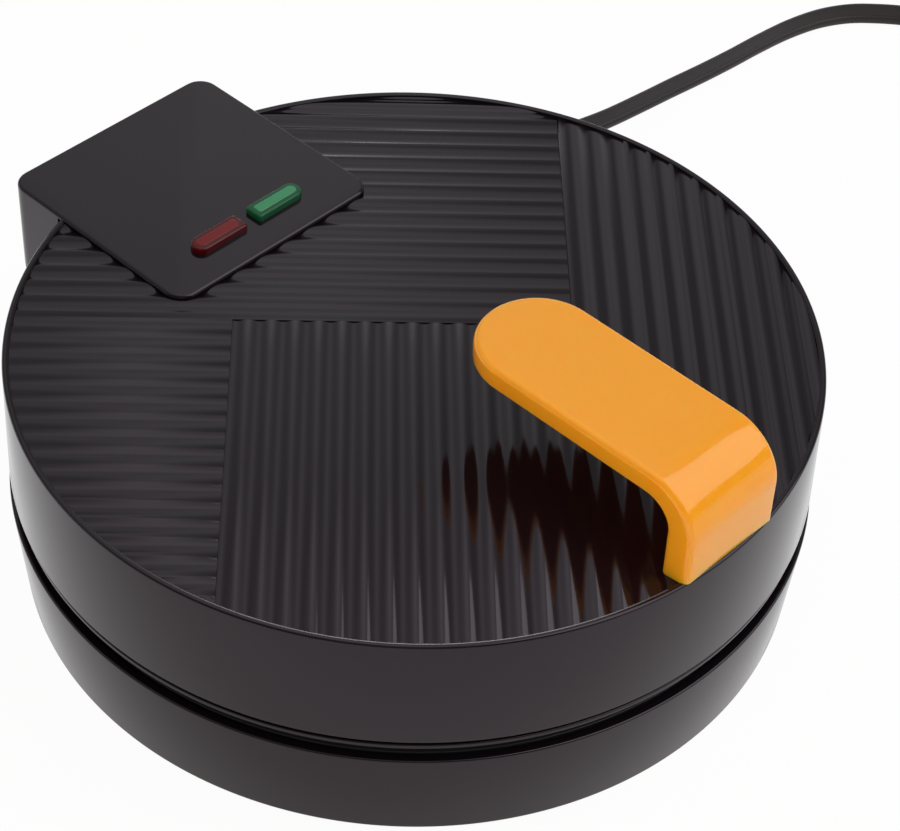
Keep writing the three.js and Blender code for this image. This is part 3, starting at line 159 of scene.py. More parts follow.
class RibSizes(bpy.types.PropertyGroup):
    """The corrugated pattern on the lid, in three zones set on the diagonals."""

    pitch: length("Pitch", "Distance from rib to rib", 5.9)
    height: length("Height", "Height of a rib over its valley", 0.45)
    end_round: length("End rounding", "Length in which a rib sinks at its end", 0.15)
    left_border: length("Left border", "Distance of the left zone's border from the axis", 46)
    right_border: length("Right border", "Distance of the right zone's border from the axis", 39.7)
    split_border: length("Rear border", "Distance of the rear zone's border from the axis", 6.6)
    across_phase: length("Front phase", "Place of a crest of the ribs that run to the rear", 5.05)
    along_phase: length("Side phase", "Place of a crest of the ribs that run across", 1.85)
    edge_overlap: length("Edge overlap", "How far the ribs run in under the lip", 0.1)
    margin: length("Margin", "Distance of the last strip of a zone from the lip", 0.3)
    panel_drop: length("Panel drop", "Depth of the closed panel under the ribs", 0.02)
    turn: angle("Turn", "Turn of the pattern on the lid", -45)
    steps: bpy.props.IntProperty(name="Steps", description="Facets across one rib", default=12, min=4)


class HingeSizes(bpy.types.PropertyGroup):
    """The hinge between the base and the lid. Starts and ends are distances behind the body's axis."""

    slot_half: length("Slot half width", "Half the width of the lid's slot for the hinge neck", 20.8)
    slot_start: length("Slot start", "Front of the slot", 90)
    slot_end: length("Slot end", "Rear of the slot", 120)
    slot_drop: length("Slot drop", "Depth of the slot under the lid's lower edge", 5)
    slot_top: length("Slot top", "Height of the slot's upper end", 63)
    ear_radius: length("Ear radius", "Radius of the lid's ears round the pin", 8)
    ear_inner: length("Ear inner side", "Distance of an ear's inner side from the middle", 21.2)
    ear_outer: length("Ear outer side", "Distance of an ear's outer side from the middle", 27.2)
    ear_start: length("Ear start", "Front of the ears", 97.5)
    ear_end: length("Ear end", "Rear of the ears at their top", 108)
    ear_top: length("Ear top", "Height of the ears", 66)
    barrel_half: length("Barrel half length", "Half the length of the barrel round the pin", 20)
    barrel_radius: length("Barrel radius", "Radius of the barrel", 8.2)
    barrel_ease: length("Barrel ease", "Bevel of the barrel's ends", 0.5)
    neck_start: length("Neck start", "Front of the neck", 101.2)
    neck_end: length("Neck end", "Rear of the neck", 111)
    neck_bottom: length("Neck bottom", "Height of the neck's lower end", 29)
    neck_corner: length("Neck corner", "Rounding of the neck's upright corners", 0.8)
    neck_edge: length("Neck edge", "Rounding of the neck's level edges", 0.3)
    pin_ease: length("Pin ease", "Bevel of the pin's ends", 0.4)


class CoverSizes(bpy.types.PropertyGroup):
    """The hinge cover."""

    corner: length("Corner", "Rounding of the cover's upright corners", 5.5)
    edge: length("Edge", "Rounding of the cover's upper edge", 0.9)
    wall: length("Wall", "Thickness of the cover's walls", 2.4)
    gap: length("Gap", "Room between the cover and the lid", 0.3)
    lower_edge: length("Lower edge", "Bevel of the walls' lower edge", 0.3)
    notch_half: length("Notch half width", "Half the width of the notch for the hinge neck", 20.5)
    notch_top: length("Notch top", "Height of the notch", 60)
    spacing: length("Spacing", "Distance from point to point along the lower edge", 0.8)


class LensSizes(bpy.types.PropertyGroup):
    """The lenses of the two lamps."""

    corner: length("Corner", "Rounding of the corners at a lens's inner end", 0.7)
    edge: length("Edge", "Rounding of a lens's upper edge", 0.6)
    field_inset: length("Field inset", "Distance of the bright field from the lens's side", 1.35)
    field_rise: length("Field rise", "Height of the bright field over the lens", 0.12)
    field_edge: length("Field edge", "Rounding of the bright field's edge", 0.25)


class HandleSizes(bpy.types.PropertyGroup):
    """The bent bar that lifts the lid."""

    slab: length("Slab", "Thickness of the level arm", 6.5)
    leg: length("Leg", "Thickness of the upright leg", 7.8)
    outer_bend: length("Outer bend", "Radius of the bend's outside", 13.8)
    inner_bend: length("Inner bend", "Radius of the bend's inside", 7.4)
    edge: length("Edge", "Rounding of the long edges", 1.6)


class BaseSizes(bpy.types.PropertyGroup):
    """The rear block, the vents and the feet."""

    block_half: length("Block half width", "Half the width of the rear block", 30)
    block_start: length("Block start", "Distance of the rear block's front from the axis", 96)
    block_top: length("Block top", "Height of the rear block's upper side", 31)
    block_corner: length("Block corner", "Rounding of the rear block's upright corners", 3)
    block_edge: length("Block edge", "Rounding of the rear block's level edges", 0.8)
    vent_half_width: length("Vent half width", "Half the width of a vent", 1.3)
    vent_half_length: length("Vent half length", "Half the length of a vent", 4.5)
    vent_circle: length("Vent circle", "Radius of the circle of vents", 91)
    foot_radius: length("Foot radius", "Radius of a foot", 7)
    foot_edge: length("Foot edge", "Rounding of a foot's lower edge", 0.8)
    foot_circle: length("Foot circle", "Radius of the circle of feet", 82)
    first_foot: angle("First foot", "Turn of the first foot", 45)
    feet: bpy.props.IntProperty(name="Feet", description="Number of feet", default=4, min=3)


class PlateSizes(bpy.types.PropertyGroup):
    """The two cooking plates."""

    ring_radius: length("Cup circle", "Radius of the circle of six cups", 60)
    mouth_radius: length("Cup mouth", "Radius of a cup at the plate", 25)
    bottom_radius: length("Cup bottom", "Radius of a cup at its bottom", 19)
    cup_depth: length("Cup depth", "Depth of a cup", 20)
    dome_radius: length("Dome top", "Radius of an upper cup at its top", 20)
    dome_depth: length("Dome depth", "Depth of an upper cup", 9)
    mouth_fillet: length("Cup lip", "Rounding where a cup meets the plate", 1.4)
    bottom_fillet: length("Cup foot", "Rounding at the bottom of a cup", 3)
    wall: length("Plate wall", "Thickness of the plates", 2.2)
    bead_rise: length("Bead rise", "Height of the lower plate's bead over its face", 1)
    bead_width: length("Bead width", "Width of the bead", 2.4)
    bead_slope: length("Bead slope", "Width of the bead's slanted inner side", 0.5)
    bead_margin: length("Bead margin", "Width of the flat strip inside the bead", 0.4)
    bead_foot_edge: length("Bead foot", "Rounding at the foot of the bead", 0.3)
    bead_inner_edge: length("Bead inner edge", "Rounding of the bead's inner edge", 0.4)
    bead_outer_edge: length("Bead outer edge", "Rounding of the bead's outer edge", 0.5)
    rim_width: length("Rim width", "Width of the upper plate's rim", 1)
    rim_edge: length("Rim edge", "Rounding of the upper plate's rim", 0.6)
    cups: bpy.props.IntProperty(name="Cups", description="Cups round the middle one", default=6, min=3)


class ScrewSizes(bpy.types.PropertyGroup):
    """The slotted screws that hold the plates."""

    circle: length("Circle", "Radius of the circle of screws", 84)
    first: angle("First screw", "Turn of the first screw", 30)
    count: bpy.props.IntProperty(name="Count", description="Screws in each plate", default=3, min=2)
    shank: length("Shank", "Radius of the shank", 1.6)
    head: length("Head", "Height of the head", 1.3)
    dome: length("Dome", "Rounding of the head and the tip", 0.5)
    head_edge: length("Head edge", "Rounding under the head", 0.1)
    slot_half: length("Slot half width", "Half the width of the slot", 0.4)
    slot_depth: length("Slot depth", "Depth of the slot", 0.7)
    slot_reach: length("Slot reach", "Half the length of the slot's cutter", 4)
    seat_gap: length("Seat gap", "Room round the head", 0.3)
    seat_shank: length("Seat hole", "Radius of the hole for the shank", 1.9)
    seat_depth: length("Seat depth", "Depth of the room for the head", 1.9)
    seat_top: length("Seat top", "Depth of the hole for the shank", 4)


class LeadSizes(bpy.types.PropertyGroup):
    """The flat twin mains lead."""

    height: length("Height", "Width of the flat lead, which stands on its edge", 7)
    thickness: length("Thickness", "Thickness of one core", 3.6)
    groove: length("Groove", "Depth of the groove between the cores", 0.9)
    ring_radius: length("Coil radius", "Outer radius of the coil's centre line", 39.5)
    inner_radius: length("Coil inner radius", "Inner radius of the coil's centre line", 33.7)
    layer_rise: length("Layer rise", "Height from one layer of the coil to the next", 7.6)
    coil_height: length("Coil height", "Height of the coil's first layer", 4.5)
    lead_in: length("Lead-in", "Straight length at each end of the coil", 7)
    piece_gap: length("Piece gap", "Room between two pieces of the lead", 0.3)
    tail_run: length("Tail", "Length of the tail along the floor", 44)
    plug_height: length("Plug height", "Height of the tail's end at the plug", 6.5)


class StageLevels(bpy.types.PropertyGroup):
    """The two lamps of the stage."""

    front_size: length("Front size", "Side of the front lamp", 2400)
    front_power: bpy.props.FloatProperty(
        name="Front power", description="Watts of the front lamp", default=32.5
    )
    left_size: length("Left size", "Side of the left lamp", 900)
    left_power: bpy.props.FloatProperty(
        name="Left power", description="Watts of the left lamp", default=11
    )


class Colours(bpy.types.PropertyGroup):
    """Colours of the visible mouldings."""

    lid_black: colour("Lid black", "Black of the lid and the base", "#110C10")
    handle_orange: colour("Handle orange", "Orange of the handle", "#FAA61E")
    green: colour("Green lens", "Green of the ready lamp's lens", "#0E5432")
    # The field colours are painted light: brighter than the dye, for the light that comes through each lens.
    green_field: colour("Green field", "Green of the lens over the lamp", "#3F9164")
    red: colour("Red lens", "Red of the power lamp's lens", "#4C0305")
    red_field: colour("Red field", "Red of the lens over the lamp", "#72080C")
    floor: colour("Floor", "Colour of the floor", "#F1EFF1")


# Shapes


def filleted(corners, steps=6):
    """A polyline through corners (a, b, fillet), each corner rounded by its fillet."""
    points = []
    count = len(corners)
    for i, (a, b, fillet) in enumerate(corners):
        here = Vector((a, b))
        if not fillet:
            points.append((a, b))
            continue
        back = (Vector(corners[i - 1][:2]) - here).normalized()
        ahead = (Vector(corners[(i + 1) % count][:2]) - here).normalized()
        half = back.angle(ahead) / 2
        reach = fillet / math.tan(half)
        middle = here + (back + ahead).normalized() * (fillet / math.sin(half))
        start = here + back * reach - middle
        sweep = start.angle_signed(here + ahead * reach - middle)
        for k in range(steps + 1):
            turned = Matrix.Rotation(-sweep * k / steps, 2) @ start
            points.append(tuple(middle + turned))
    return points


def revolve(profile, segments, closed=True):
    """A profile of (radius, height) turned about the body's axis. An open profile starts and ends on it."""
    vertices, rings, faces = [], [], []
    for radius, height in profile:
        if radius == 0:
            rings.append([len(vertices)] * segments)
            vertices.append((0, 0, height))
            continue
        rings.append(list(range(len(vertices), len(vertices) + segments)))
        for k in range(segments):
            turn = 2 * math.pi * k / segments
            vertices.append((radius * math.cos(turn), radius * math.sin(turn), height))
    pairs = list(zip(rings, rings[1:])) + ([(rings[-1], rings[0])] if closed else [])
    for low, high in pairs:
        for k in range(segments):
            n = (k + 1) % segments
            corners = [low[k], low[n], high[n], high[k]]
            faces.append([c for j, c in enumerate(corners) if c not in corners[:j]])
    return vertices, faces


def loft(loops):
    """Quads between loops of equal length, with flat ends."""
    vertices = [point for loop in loops for point in loop]
    count = len(loops[0])
    last = (len(loops) - 1) * count
    faces = []
    for start in range(0, last, count):
        for k in range(count):
            n = (k + 1) % count
            faces.append((start + k, start + n, start + count + n, start + count + k))
    faces.append(tuple(reversed(range(count))))
    faces.append(tuple(range(last, last + count)))
    return vertices, faces


def rounded_rectangle(x0, x1, y0, y1, radius, steps=8, inset=0.0):
    """A loop of (x, y) points, anticlockwise from the lower right corner, moved inwards by inset."""
    arc = max(radius - inset, SAME_PLACE)
    left, right = x0 + radius, x1 - radius
    front, rear = y0 + radius, y1 - radius
    points = []
    for i, (cx, cy) in enumerate(((right, front), (right, rear), (left, rear), (left, front))):
        for k in range(steps + 1):
            turn = math.pi / 2 * (i - 1 + k / steps)
            points.append((cx + arc * math.cos(turn), cy + arc * math.sin(turn)))
    return points


def rounded_block(x0, x1, y0, y1, z0, z1, corner, edge, steps=5):
    """A block with rounded upright corners and rounded top and bottom edges."""
    loops = []
    for base, way in ((z0, 1), (z1, -1)):
        rows = []
        for k in range(steps + 1):
            turn = math.pi / 2 * k / steps
            inset = edge * (1 - math.sin(turn))
            height = base + way * edge * (1 - math.cos(turn))
            rows.append([(x, y, height) for x, y in rounded_rectangle(x0, x1, y0, y1, corner, inset=inset)])
        loops += rows if way > 0 else rows[::-1]
    return loft(loops)


def flat_region(outer, holes, height):
    """Triangles that fill a flat outline round its holes. Returns vertices and faces."""
    points, edges = [], []
    for loop in (outer, *holes):
        start = len(points)
        points += [Vector(p) for p in loop]
        edges += [(start + k, start + (k + 1) % len(loop)) for k in range(len(loop))]
    found, _, triangles, _, _, _ = delaunay_2d_cdt(points, edges, [], 0, SAME_PLACE / 1000)

    def inside(point, loop):
        odd = False
        for k, (ax, ay) in enumerate(loop):
            bx, by = loop[k - 1]
            if (ay > point.y) != (by > point.y) and point.x < (bx - ax) * (point.y - ay) / (by - ay) + ax:
                odd = not odd
        return odd

    kept = []
    for triangle in triangles:
        middle = sum((found[k] for k in triangle), Vector((0, 0))) / 3
        if inside(middle, outer) and not any(inside(middle, hole) for hole in holes):
            kept.append(tuple(triangle))
    return [(p.x, p.y, height) for p in found], kept


def placed(name, data):
    """A new object with its data, in the scene."""
    thing = bpy.data.objects.new(name, data)
    bpy.context.scene.collection.objects.link(thing)
    return thing


def circle(radius, count, centre=(0, 0)):
    """A loop of (x, y) points on a circle."""
    turns = (2 * math.pi * k / count for k in range(count))
    return [(centre[0] + radius * math.cos(t), centre[1] + radius * math.sin(t)) for t in turns]


def joined(*shapes):
    """Several (vertices, faces) shapes as one."""
    vertices, faces = [], []
    for more_vertices, more_faces in shapes:
        start = len(vertices)
        vertices += [tuple(v) for v in more_vertices]
        faces += [tuple(start + k for k in face) for face in more_faces]
    return vertices, faces


def moved(shape, x=0.0, y=0.0):
    """A shape moved by x and y."""
    vertices, faces = shape
    return [(a + x, b + y, c) for a, b, c in vertices], faces


def make_mesh(name, shape, sharp_angle=35, on_axis=True):
    """A mesh object from a shape, its doubles merged, faces turned outwards, smooth but for sharp edges."""
    vertices, faces = shape
    offset = body_axis if on_axis else Vector()
    mesh = bpy.data.meshes.new(name)
    mesh.from_pydata([Vector(v) + offset for v in vertices], [], faces)
    work = bmesh.new()
    work.from_mesh(mesh)
    bmesh.ops.remove_doubles(work, verts=work.verts, dist=SAME_PLACE)
    bmesh.ops.dissolve_degenerate(work, edges=work.edges, dist=SAME_PLACE / 100)
    bmesh.ops.recalc_face_normals(work, faces=work.faces)
    work.to_mesh(mesh)
    work.free()
    mesh.shade_smooth()
    mesh.set_sharp_from_angle(angle=math.radians(sharp_angle))
    return placed(name, mesh)


def cut_by(thing, tool_shape, on_axis=True):
    """Takes a tool's shape out of a piece, for good."""
    tool = make_mesh(thing.name + "_tool", tool_shape, on_axis=on_axis)
    cut = thing.modifiers.new("cut", "BOOLEAN")
    cut.operation = "DIFFERENCE"
    cut.solver = "EXACT"
    cut.object = tool
    settle(thing)
    bpy.data.objects.remove(tool)
    return thing


def settle(thing, sharp_angle=35):
    """Turns a piece with its modifiers into a plain mesh."""
    bpy.context.view_layer.update()
    evaluated = thing.evaluated_get(bpy.context.evaluated_depsgraph_get())
    mesh = bpy.data.meshes.new_from_object(evaluated)
    thing.modifiers.clear()
    thing.data = mesh
    mesh.shade_smooth()
    mesh.set_sharp_from_angle(angle=math.radians(sharp_angle))
    return thing


def dress(thing, body, finish, replaces=()):
    """Gives a piece its surface, its body and the CAD nodes that it stands for."""
    thing.data.materials.clear()
    thing.data.materials.append(finish)
    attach(thing, body)
    if replaces:
        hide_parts(*replaces)
    return thing


def block_box(x0, x1, y0, y1, z0, z1):
    """A plain box shape."""
    low = [(x0, y0, z0), (x1, y0, z0), (x1, y1, z0), (x0, y1, z0)]
    return loft([low, [(x, y, z1) for x, y, _ in low]])


# Materials


def add_node(tree, kind, settings=None, links=None):
    """One node with its settings, by property or input name, and the sockets or nodes that feed it."""
    node = tree.nodes.new(kind)
    for key, value in (settings or {}).items():
        if isinstance(key, int) or key in node.inputs:
            node.inputs[key].default_value = value
        else:
            setattr(node, key, value)
    for key, source in (links or {}).items():
        socket = source.outputs[0] if isinstance(source, bpy.types.Node) else source
        tree.links.new(socket, node.inputs[key])
    return node


def new_material(name):
    """A material with an empty tree, and the tree."""
    empty = bpy.data.materials.new(name)
    empty.use_nodes = True
    empty.node_tree.nodes.clear()
    return empty, empty.node_tree


def grain_bump(tree, grain, strength, distance):
    """A fine bump in object space whose lumps measure grain metres."""
    place = add_node(tree, "ShaderNodeTexCoord").outputs["Object"]
    lumps = {"Scale": 1 / grain, "Detail": 2.0, "Roughness": 0.5}
    noise = add_node(tree, "ShaderNodeTexNoise", lumps, {"Vector": place}).outputs["Fac"]
    depth = {"Strength": strength, "Distance": distance}
    return add_node(tree, "ShaderNodeBump", depth, {"Height": noise}).outputs["Normal"]


def varied(tree, low, high, grain):
    """A number that drifts between low and high over patches of grain metres."""
    place = add_node(tree, "ShaderNodeTexCoord").outputs["Object"]
    patches = {"Scale": 1 / grain, "Detail": 3.0}
    noise = add_node(tree, "ShaderNodeTexNoise", patches, {"Vector": place}).outputs["Fac"]
    span = {"From Min": 0.3, "From Max": 0.7, "To Min": low, "To Max": high}
    return add_node(tree, "ShaderNodeMapRange", span, {"Value": noise}).outputs["Result"]


def surface(name, settings, normal=None, roughness=None):
    """A material of one principled shader.

    normal is the grain, strength and depth of its bump. roughness is the least, the most and the size of
    the patches over which it drifts.
    """
    finish, tree = new_material(name)
    links = {}
    if normal:
        links["Normal"] = grain_bump(tree, *normal)
    if roughness:
        links["Roughness"] = varied(tree, *roughness)
    shader = add_node(tree, "ShaderNodeBsdfPrincipled", settings, links)
    add_node(tree, "ShaderNodeOutputMaterial", {}, {"Surface": shader})
    return finish


def opaque(rgb):
    """A colour with full alpha."""
    return (*rgb, 1.0)


def moulded_black_abs():
    """Injection-moulded ABS from a polished tool: deep black, with a faint waviness in its reflections."""
    tint = bpy.context.scene.cupcake_colours.lid_black
    # The Specular Tint is a painted purple sheen: it tints the plastic's reflections in the light's colour.
    settings = {"Base Color": opaque(tint), "IOR": 1.45, "Specular Tint": (1.0, 0.89, 1.0, 1.0)}
    return surface("moulded_black_abs", settings, (2.5 * MM, 0.05, 0.02 * MM), (0.11, 0.16, 30 * MM))


def moulded_orange_abs():
    """Injection-moulded ABS in a saturated orange: glossy, with a little light passing under the surface."""
    tint = bpy.context.scene.cupcake_colours.handle_orange
    settings = {
        "Base Color": opaque(tint),
        "IOR": 1.5,
        "Subsurface Weight": 0.7,
        "Subsurface Radius": (1.0, 0.25, 0.05),
        "Subsurface Scale": 5 * MM,
    }
    return surface("moulded_orange_abs", settings, (4 * MM, 0.05, 0.02 * MM), (0.1, 0.14, 25 * MM))


def dyed_and_lit_polycarbonate(name, tint):
    """Clear polycarbonate dyed in the mass, as lamp lenses are: light goes in and comes back coloured."""
    settings = {
        "Base Color": opaque(tint),
        "IOR": 1.58,
        "Specular IOR Level": 0.2,
        "Roughness": 0.12,
        "Transmission Weight": 0.15,
        "Subsurface Weight": 0.2,
        "Subsurface Radius": (1.0, 1.0, 1.0),
        "Subsurface Scale": 1.5 * MM,
    }
    return surface(name, settings, (3 * MM, 0.08, 0.02 * MM))


def coated_aluminium():
    """Pressed aluminium under a sprayed non-stick coat: satin charcoal with a fine orange peel."""
    settings = {"Base Color": opaque(linear("#2A2A2C")), "Metallic": 0.15}
    return surface("coated_aluminium", settings, (0.8 * MM, 0.25, 0.03 * MM), (0.38, 0.5, 20 * MM))


def pressed_aluminium():
    """Bare pressed aluminium sheet: dull bright metal with a patchy haze."""
    settings = {"Base Color": opaque(linear("#C4C6C8")), "Metallic": 1.0}
    return surface("pressed_aluminium", settings, (1.2 * MM, 0.1, 0.02 * MM), (0.3, 0.45, 15 * MM))


def zinc_plated_steel():
    """Turned steel with a thin zinc plate: small screws, pins and element tubes."""
    settings = {"Base Color": opaque(linear("#B4B6BA")), "Metallic": 1.0}
    return surface("zinc_plated_steel", settings, (0.5 * MM, 0.1, 0.01 * MM), (0.25, 0.38, 4 * MM))


def rolled_brass():
    """Rolled brass strip, as plug blades are stamped from."""
    settings = {"Base Color": opaque(linear("#CDB37A")), "Metallic": 1.0}
    return surface("rolled_brass", settings, (0.6 * MM, 0.1, 0.01 * MM), (0.22, 0.34, 4 * MM))


def extruded_pvc():
    """Extruded soft PVC: a black skin with a fine haze, neither dull nor polished."""
    settings = {"Base Color": opaque(linear("#353132")), "IOR": 1.5, "Specular IOR Level": 0.2}
    return surface("extruded_black_pvc", settings, (0.9 * MM, 0.15, 0.02 * MM), (0.32, 0.42, 12 * MM))


def moulded_rubber():
    """Moulded rubber with an eroded tool face: matt, for the feet."""
    settings = {"Base Color": opaque(linear("#1A1A1A")), "IOR": 1.5}
    return surface("moulded_black_rubber", settings, (0.6 * MM, 0.3, 0.04 * MM), (0.6, 0.75, 6 * MM))


def moulded_resin(name, tint):
    """Moulded heat-proof resin or wire insulation: satin, in one even colour."""
    settings = {"Base Color": opaque(linear(tint)), "IOR": 1.5}
    return surface(name, settings, (1.0 * MM, 0.15, 0.02 * MM), (0.4, 0.55, 8 * MM))


def lamp_glass():
    """Drawn glass of the neon lamps."""
    settings = {"Base Color": opaque(linear("#E8D8C0")), "IOR": 1.5, "Transmission Weight": 0.9}
    return surface("drawn_lamp_glass", settings, (3 * MM, 0.05, 0.01 * MM), (0.04, 0.1, 5 * MM))


made = {}


def once(maker, *arguments):
    """Each material and each Geometry Nodes tree is made once."""
    key = (maker.__name__, *[str(a) for a in arguments])
    if key not in made:
        made[key] = maker(*arguments)
    return made[key]


# Geometry Nodes


def new_tree(name, inputs):
    """A Geometry Nodes tree with its named inputs and one output. Returns the tree and the input sockets."""
    tree = bpy.data.node_groups.new(name, "GeometryNodeTree")
    for socket_name, kind in inputs.items():
        tree.interface.new_socket(socket_name, in_out="INPUT", socket_type=f"NodeSocket{kind}")
    tree.interface.new_socket("Material", in_out="INPUT", socket_type="NodeSocketMaterial")
    tree.interface.new_socket("Geometry", in_out="OUTPUT", socket_type="NodeSocketGeometry")
    return tree, add_node(tree, "NodeGroupInput").outputs


def finish_tree(tree, shape, finish):
    """Ends a tree: real geometry with its material."""
    real = add_node(tree, "GeometryNodeRealizeInstances", {}, {"Geometry": shape})
    painted = add_node(tree, "GeometryNodeSetMaterial", {}, {"Geometry": real, "Material": finish})
    add_node(tree, "NodeGroupOutput", {}, {"Geometry": painted})
    return tree


def round_the_axis_tree():
    """Copies of a piece on a circle round the body's axis, each turned with its place."""
    inputs = {"Piece": "Geometry", "Count": "Int", "Radius": "Float", "First angle": "Float"}
    tree, given = new_tree("round_the_axis", {**inputs, "Axis": "Vector"})
    round_line = {"Vertices": given["Count"], "Radius": given["Radius"]}
    ring = add_node(tree, "GeometryNodeMeshCircle", {"fill_type": "NONE"}, round_line)
    spin = add_node(tree, "ShaderNodeCombineXYZ", {}, {"Z": given["First angle"]})
    turned = add_node(tree, "GeometryNodeTransform", {}, {"Geometry": ring, "Rotation": spin})
    place = add_node(tree, "GeometryNodeInputPosition")
    outwards = {"axis": "X", "pivot_axis": "Z"}
    facing = add_node(tree, "FunctionNodeAlignRotationToVector", outwards, {"Vector": place})
    on_points = {"Points": turned, "Instance": given["Piece"], "Rotation": facing}
    copies = add_node(tree, "GeometryNodeInstanceOnPoints", {}, on_points)
    centred = add_node(tree, "GeometryNodeTransform", {}, {"Geometry": copies, "Translation": given["Axis"]})
    return finish_tree(tree, centred, given["Material"])


def rib_rule_tree():
    """Lifts a flat zone into rounded ribs: height follows a cosine across the ribs."""
    inputs = {"Zone": "Geometry", "Pitch": "Float", "Height": "Float", "Crest place": "Float"}
    tree, given = new_tree("rib_rule", inputs)
    read = "GeometryNodeInputNamedAttribute"
    across = add_node(tree, read, {"data_type": "FLOAT", "Name": "across"})
    rise = add_node(tree, read, {"data_type": "FLOAT", "Name": "rise"})
    crest = given["Crest place"]
    from_crest = add_node(tree, "ShaderNodeMath", {"operation": "SUBTRACT"}, {0: across, 1: crest})
    ribs = add_node(tree, "ShaderNodeMath", {"operation": "DIVIDE"}, {0: from_crest, 1: given["Pitch"]})
    phase = add_node(tree, "ShaderNodeMath", {"operation": "MULTIPLY", 1: 2 * math.pi}, {0: ribs})
    wave = add_node(tree, "ShaderNodeMath", {"operation": "COSINE"}, {0: phase})
    share = add_node(tree, "ShaderNodeMath", {"operation": "MULTIPLY_ADD", 1: 0.5, 2: 0.5}, {0: wave})
    sunk = add_node(tree, "ShaderNodeMath", {"operation": "MULTIPLY"}, {0: share, 1: rise})
    lift = add_node(tree, "ShaderNodeMath", {"operation": "MULTIPLY"}, {0: sunk, 1: given["Height"]})
    offset = add_node(tree, "ShaderNodeCombineXYZ", {}, {"Z": lift})
    shaped = add_node(tree, "GeometryNodeSetPosition", {}, {"Geometry": given["Zone"], "Offset": offset})
    return finish_tree(tree, shaped, given["Material"])


def swept_tree():
    """Carries a section along a line, its height kept upright, with closed ends."""
    tree, given = new_tree("swept_section", {"Line": "Geometry", "Section": "Object"})
    line = add_node(tree, "GeometryNodeMeshToCurve", {}, {"Mesh": given["Line"]})
    upright = add_node(tree, "GeometryNodeSetCurveNormal", {"mode": "Z_UP"}, {"Curve": line})
    shape = add_node(tree, "GeometryNodeObjectInfo", {}, {"Object": given["Section"]}).outputs["Geometry"]
    section = add_node(tree, "GeometryNodeMeshToCurve", {}, {"Mesh": shape})
    along = {"Curve": upright, "Profile Curve": section}
    swept_skin = add_node(tree, "GeometryNodeCurveToMesh", {"Fill Caps": True}, along)
    return finish_tree(tree, swept_skin, given["Material"])


def run_tree(thing, tree, values):
    """Runs a Geometry Nodes tree on a piece with its inputs set, and keeps the plain mesh."""
    nodes = thing.modifiers.new("nodes", "NODES")
    nodes.node_group = tree
    for item in tree.interface.items_tree:
        if item.item_type == "SOCKET" and item.in_out == "INPUT" and item.name in values:
            nodes[item.identifier] = values[item.name]
    return settle(thing)


def round_the_axis(thing, count, radius, first_angle, finish):
    """A piece with its copies on a circle round the body's axis."""
    values = {
        "Count": count,
        "Radius": radius,
        "First angle": first_angle,
        "Axis": tuple(body_axis),
        "Material": finish,
    }
    return run_tree(thing, once(round_the_axis_tree), values)


def line_object(name, points, closed=False):
    """An object of edges only, through the points."""
    edges = [(k, k + 1) for k in range(len(points) - 1)]
    edges += [(len(points) - 1, 0)] if closed else []
    mesh = bpy.data.meshes.new(name)
    mesh.from_pydata(points, edges, [])
    return placed(name, mesh)


def swept(name, line, section, finish):
    """A section carried along a line of points on the body's axis."""
    outline = line_object(name + "_section", [(a, b, 0) for a, b in section], closed=True)
    thing = line_object(name, [point + body_axis for point in line])
    run_tree(thing, once(swept_tree), {"Section": outline, "Material": finish})
    bpy.data.objects.remove(outline)
    work = bmesh.new()
    work.from_mesh(thing.data)
    bmesh.ops.recalc_face_normals(work, faces=work.faces)
    work.to_mesh(thing.data)
    work.free()
    return thing


# Lid


def lid_wall_shape(sizes):
    """The lid's outer wall with its lip."""
    lip_inner = sizes.rim_radius - sizes.lip_width
    inner = sizes.lid_radius - sizes.lid_wall
    step = lip_inner - sizes.face_overlap
    under_face = sizes.face_height - sizes.lid_wall
    slant_drop = sizes.lip_slant * math.tan(sizes.lip_slope)
    corners = [
        (inner, sizes.lid_bottom, 0),
        (sizes.lid_radius, sizes.lid_bottom, sizes.lid_fillet),
        (sizes.rim_radius, sizes.rim_top, sizes.rim_fillet),
        (lip_inner + sizes.lip_slant, sizes.rim_top, sizes.lip_crease),
        (lip_inner, sizes.rim_top - slant_drop, sizes.lip_fillet),
        (step, sizes.face_height - sizes.face_tuck, 0),
        (step, under_face, 0),
        (inner, under_face, 0),
    ]
    return revolve(filleted(corners), WALL_SEGMENTS)


def hinge_slot(sizes, hinge):
    """The room for the base's hinge neck in the lid's rear wall."""
    half, bottom = hinge.slot_half, sizes.lid_bottom - hinge.slot_drop
    return block_box(-half, half, hinge.slot_start, hinge.slot_end, bottom, hinge.slot_top)


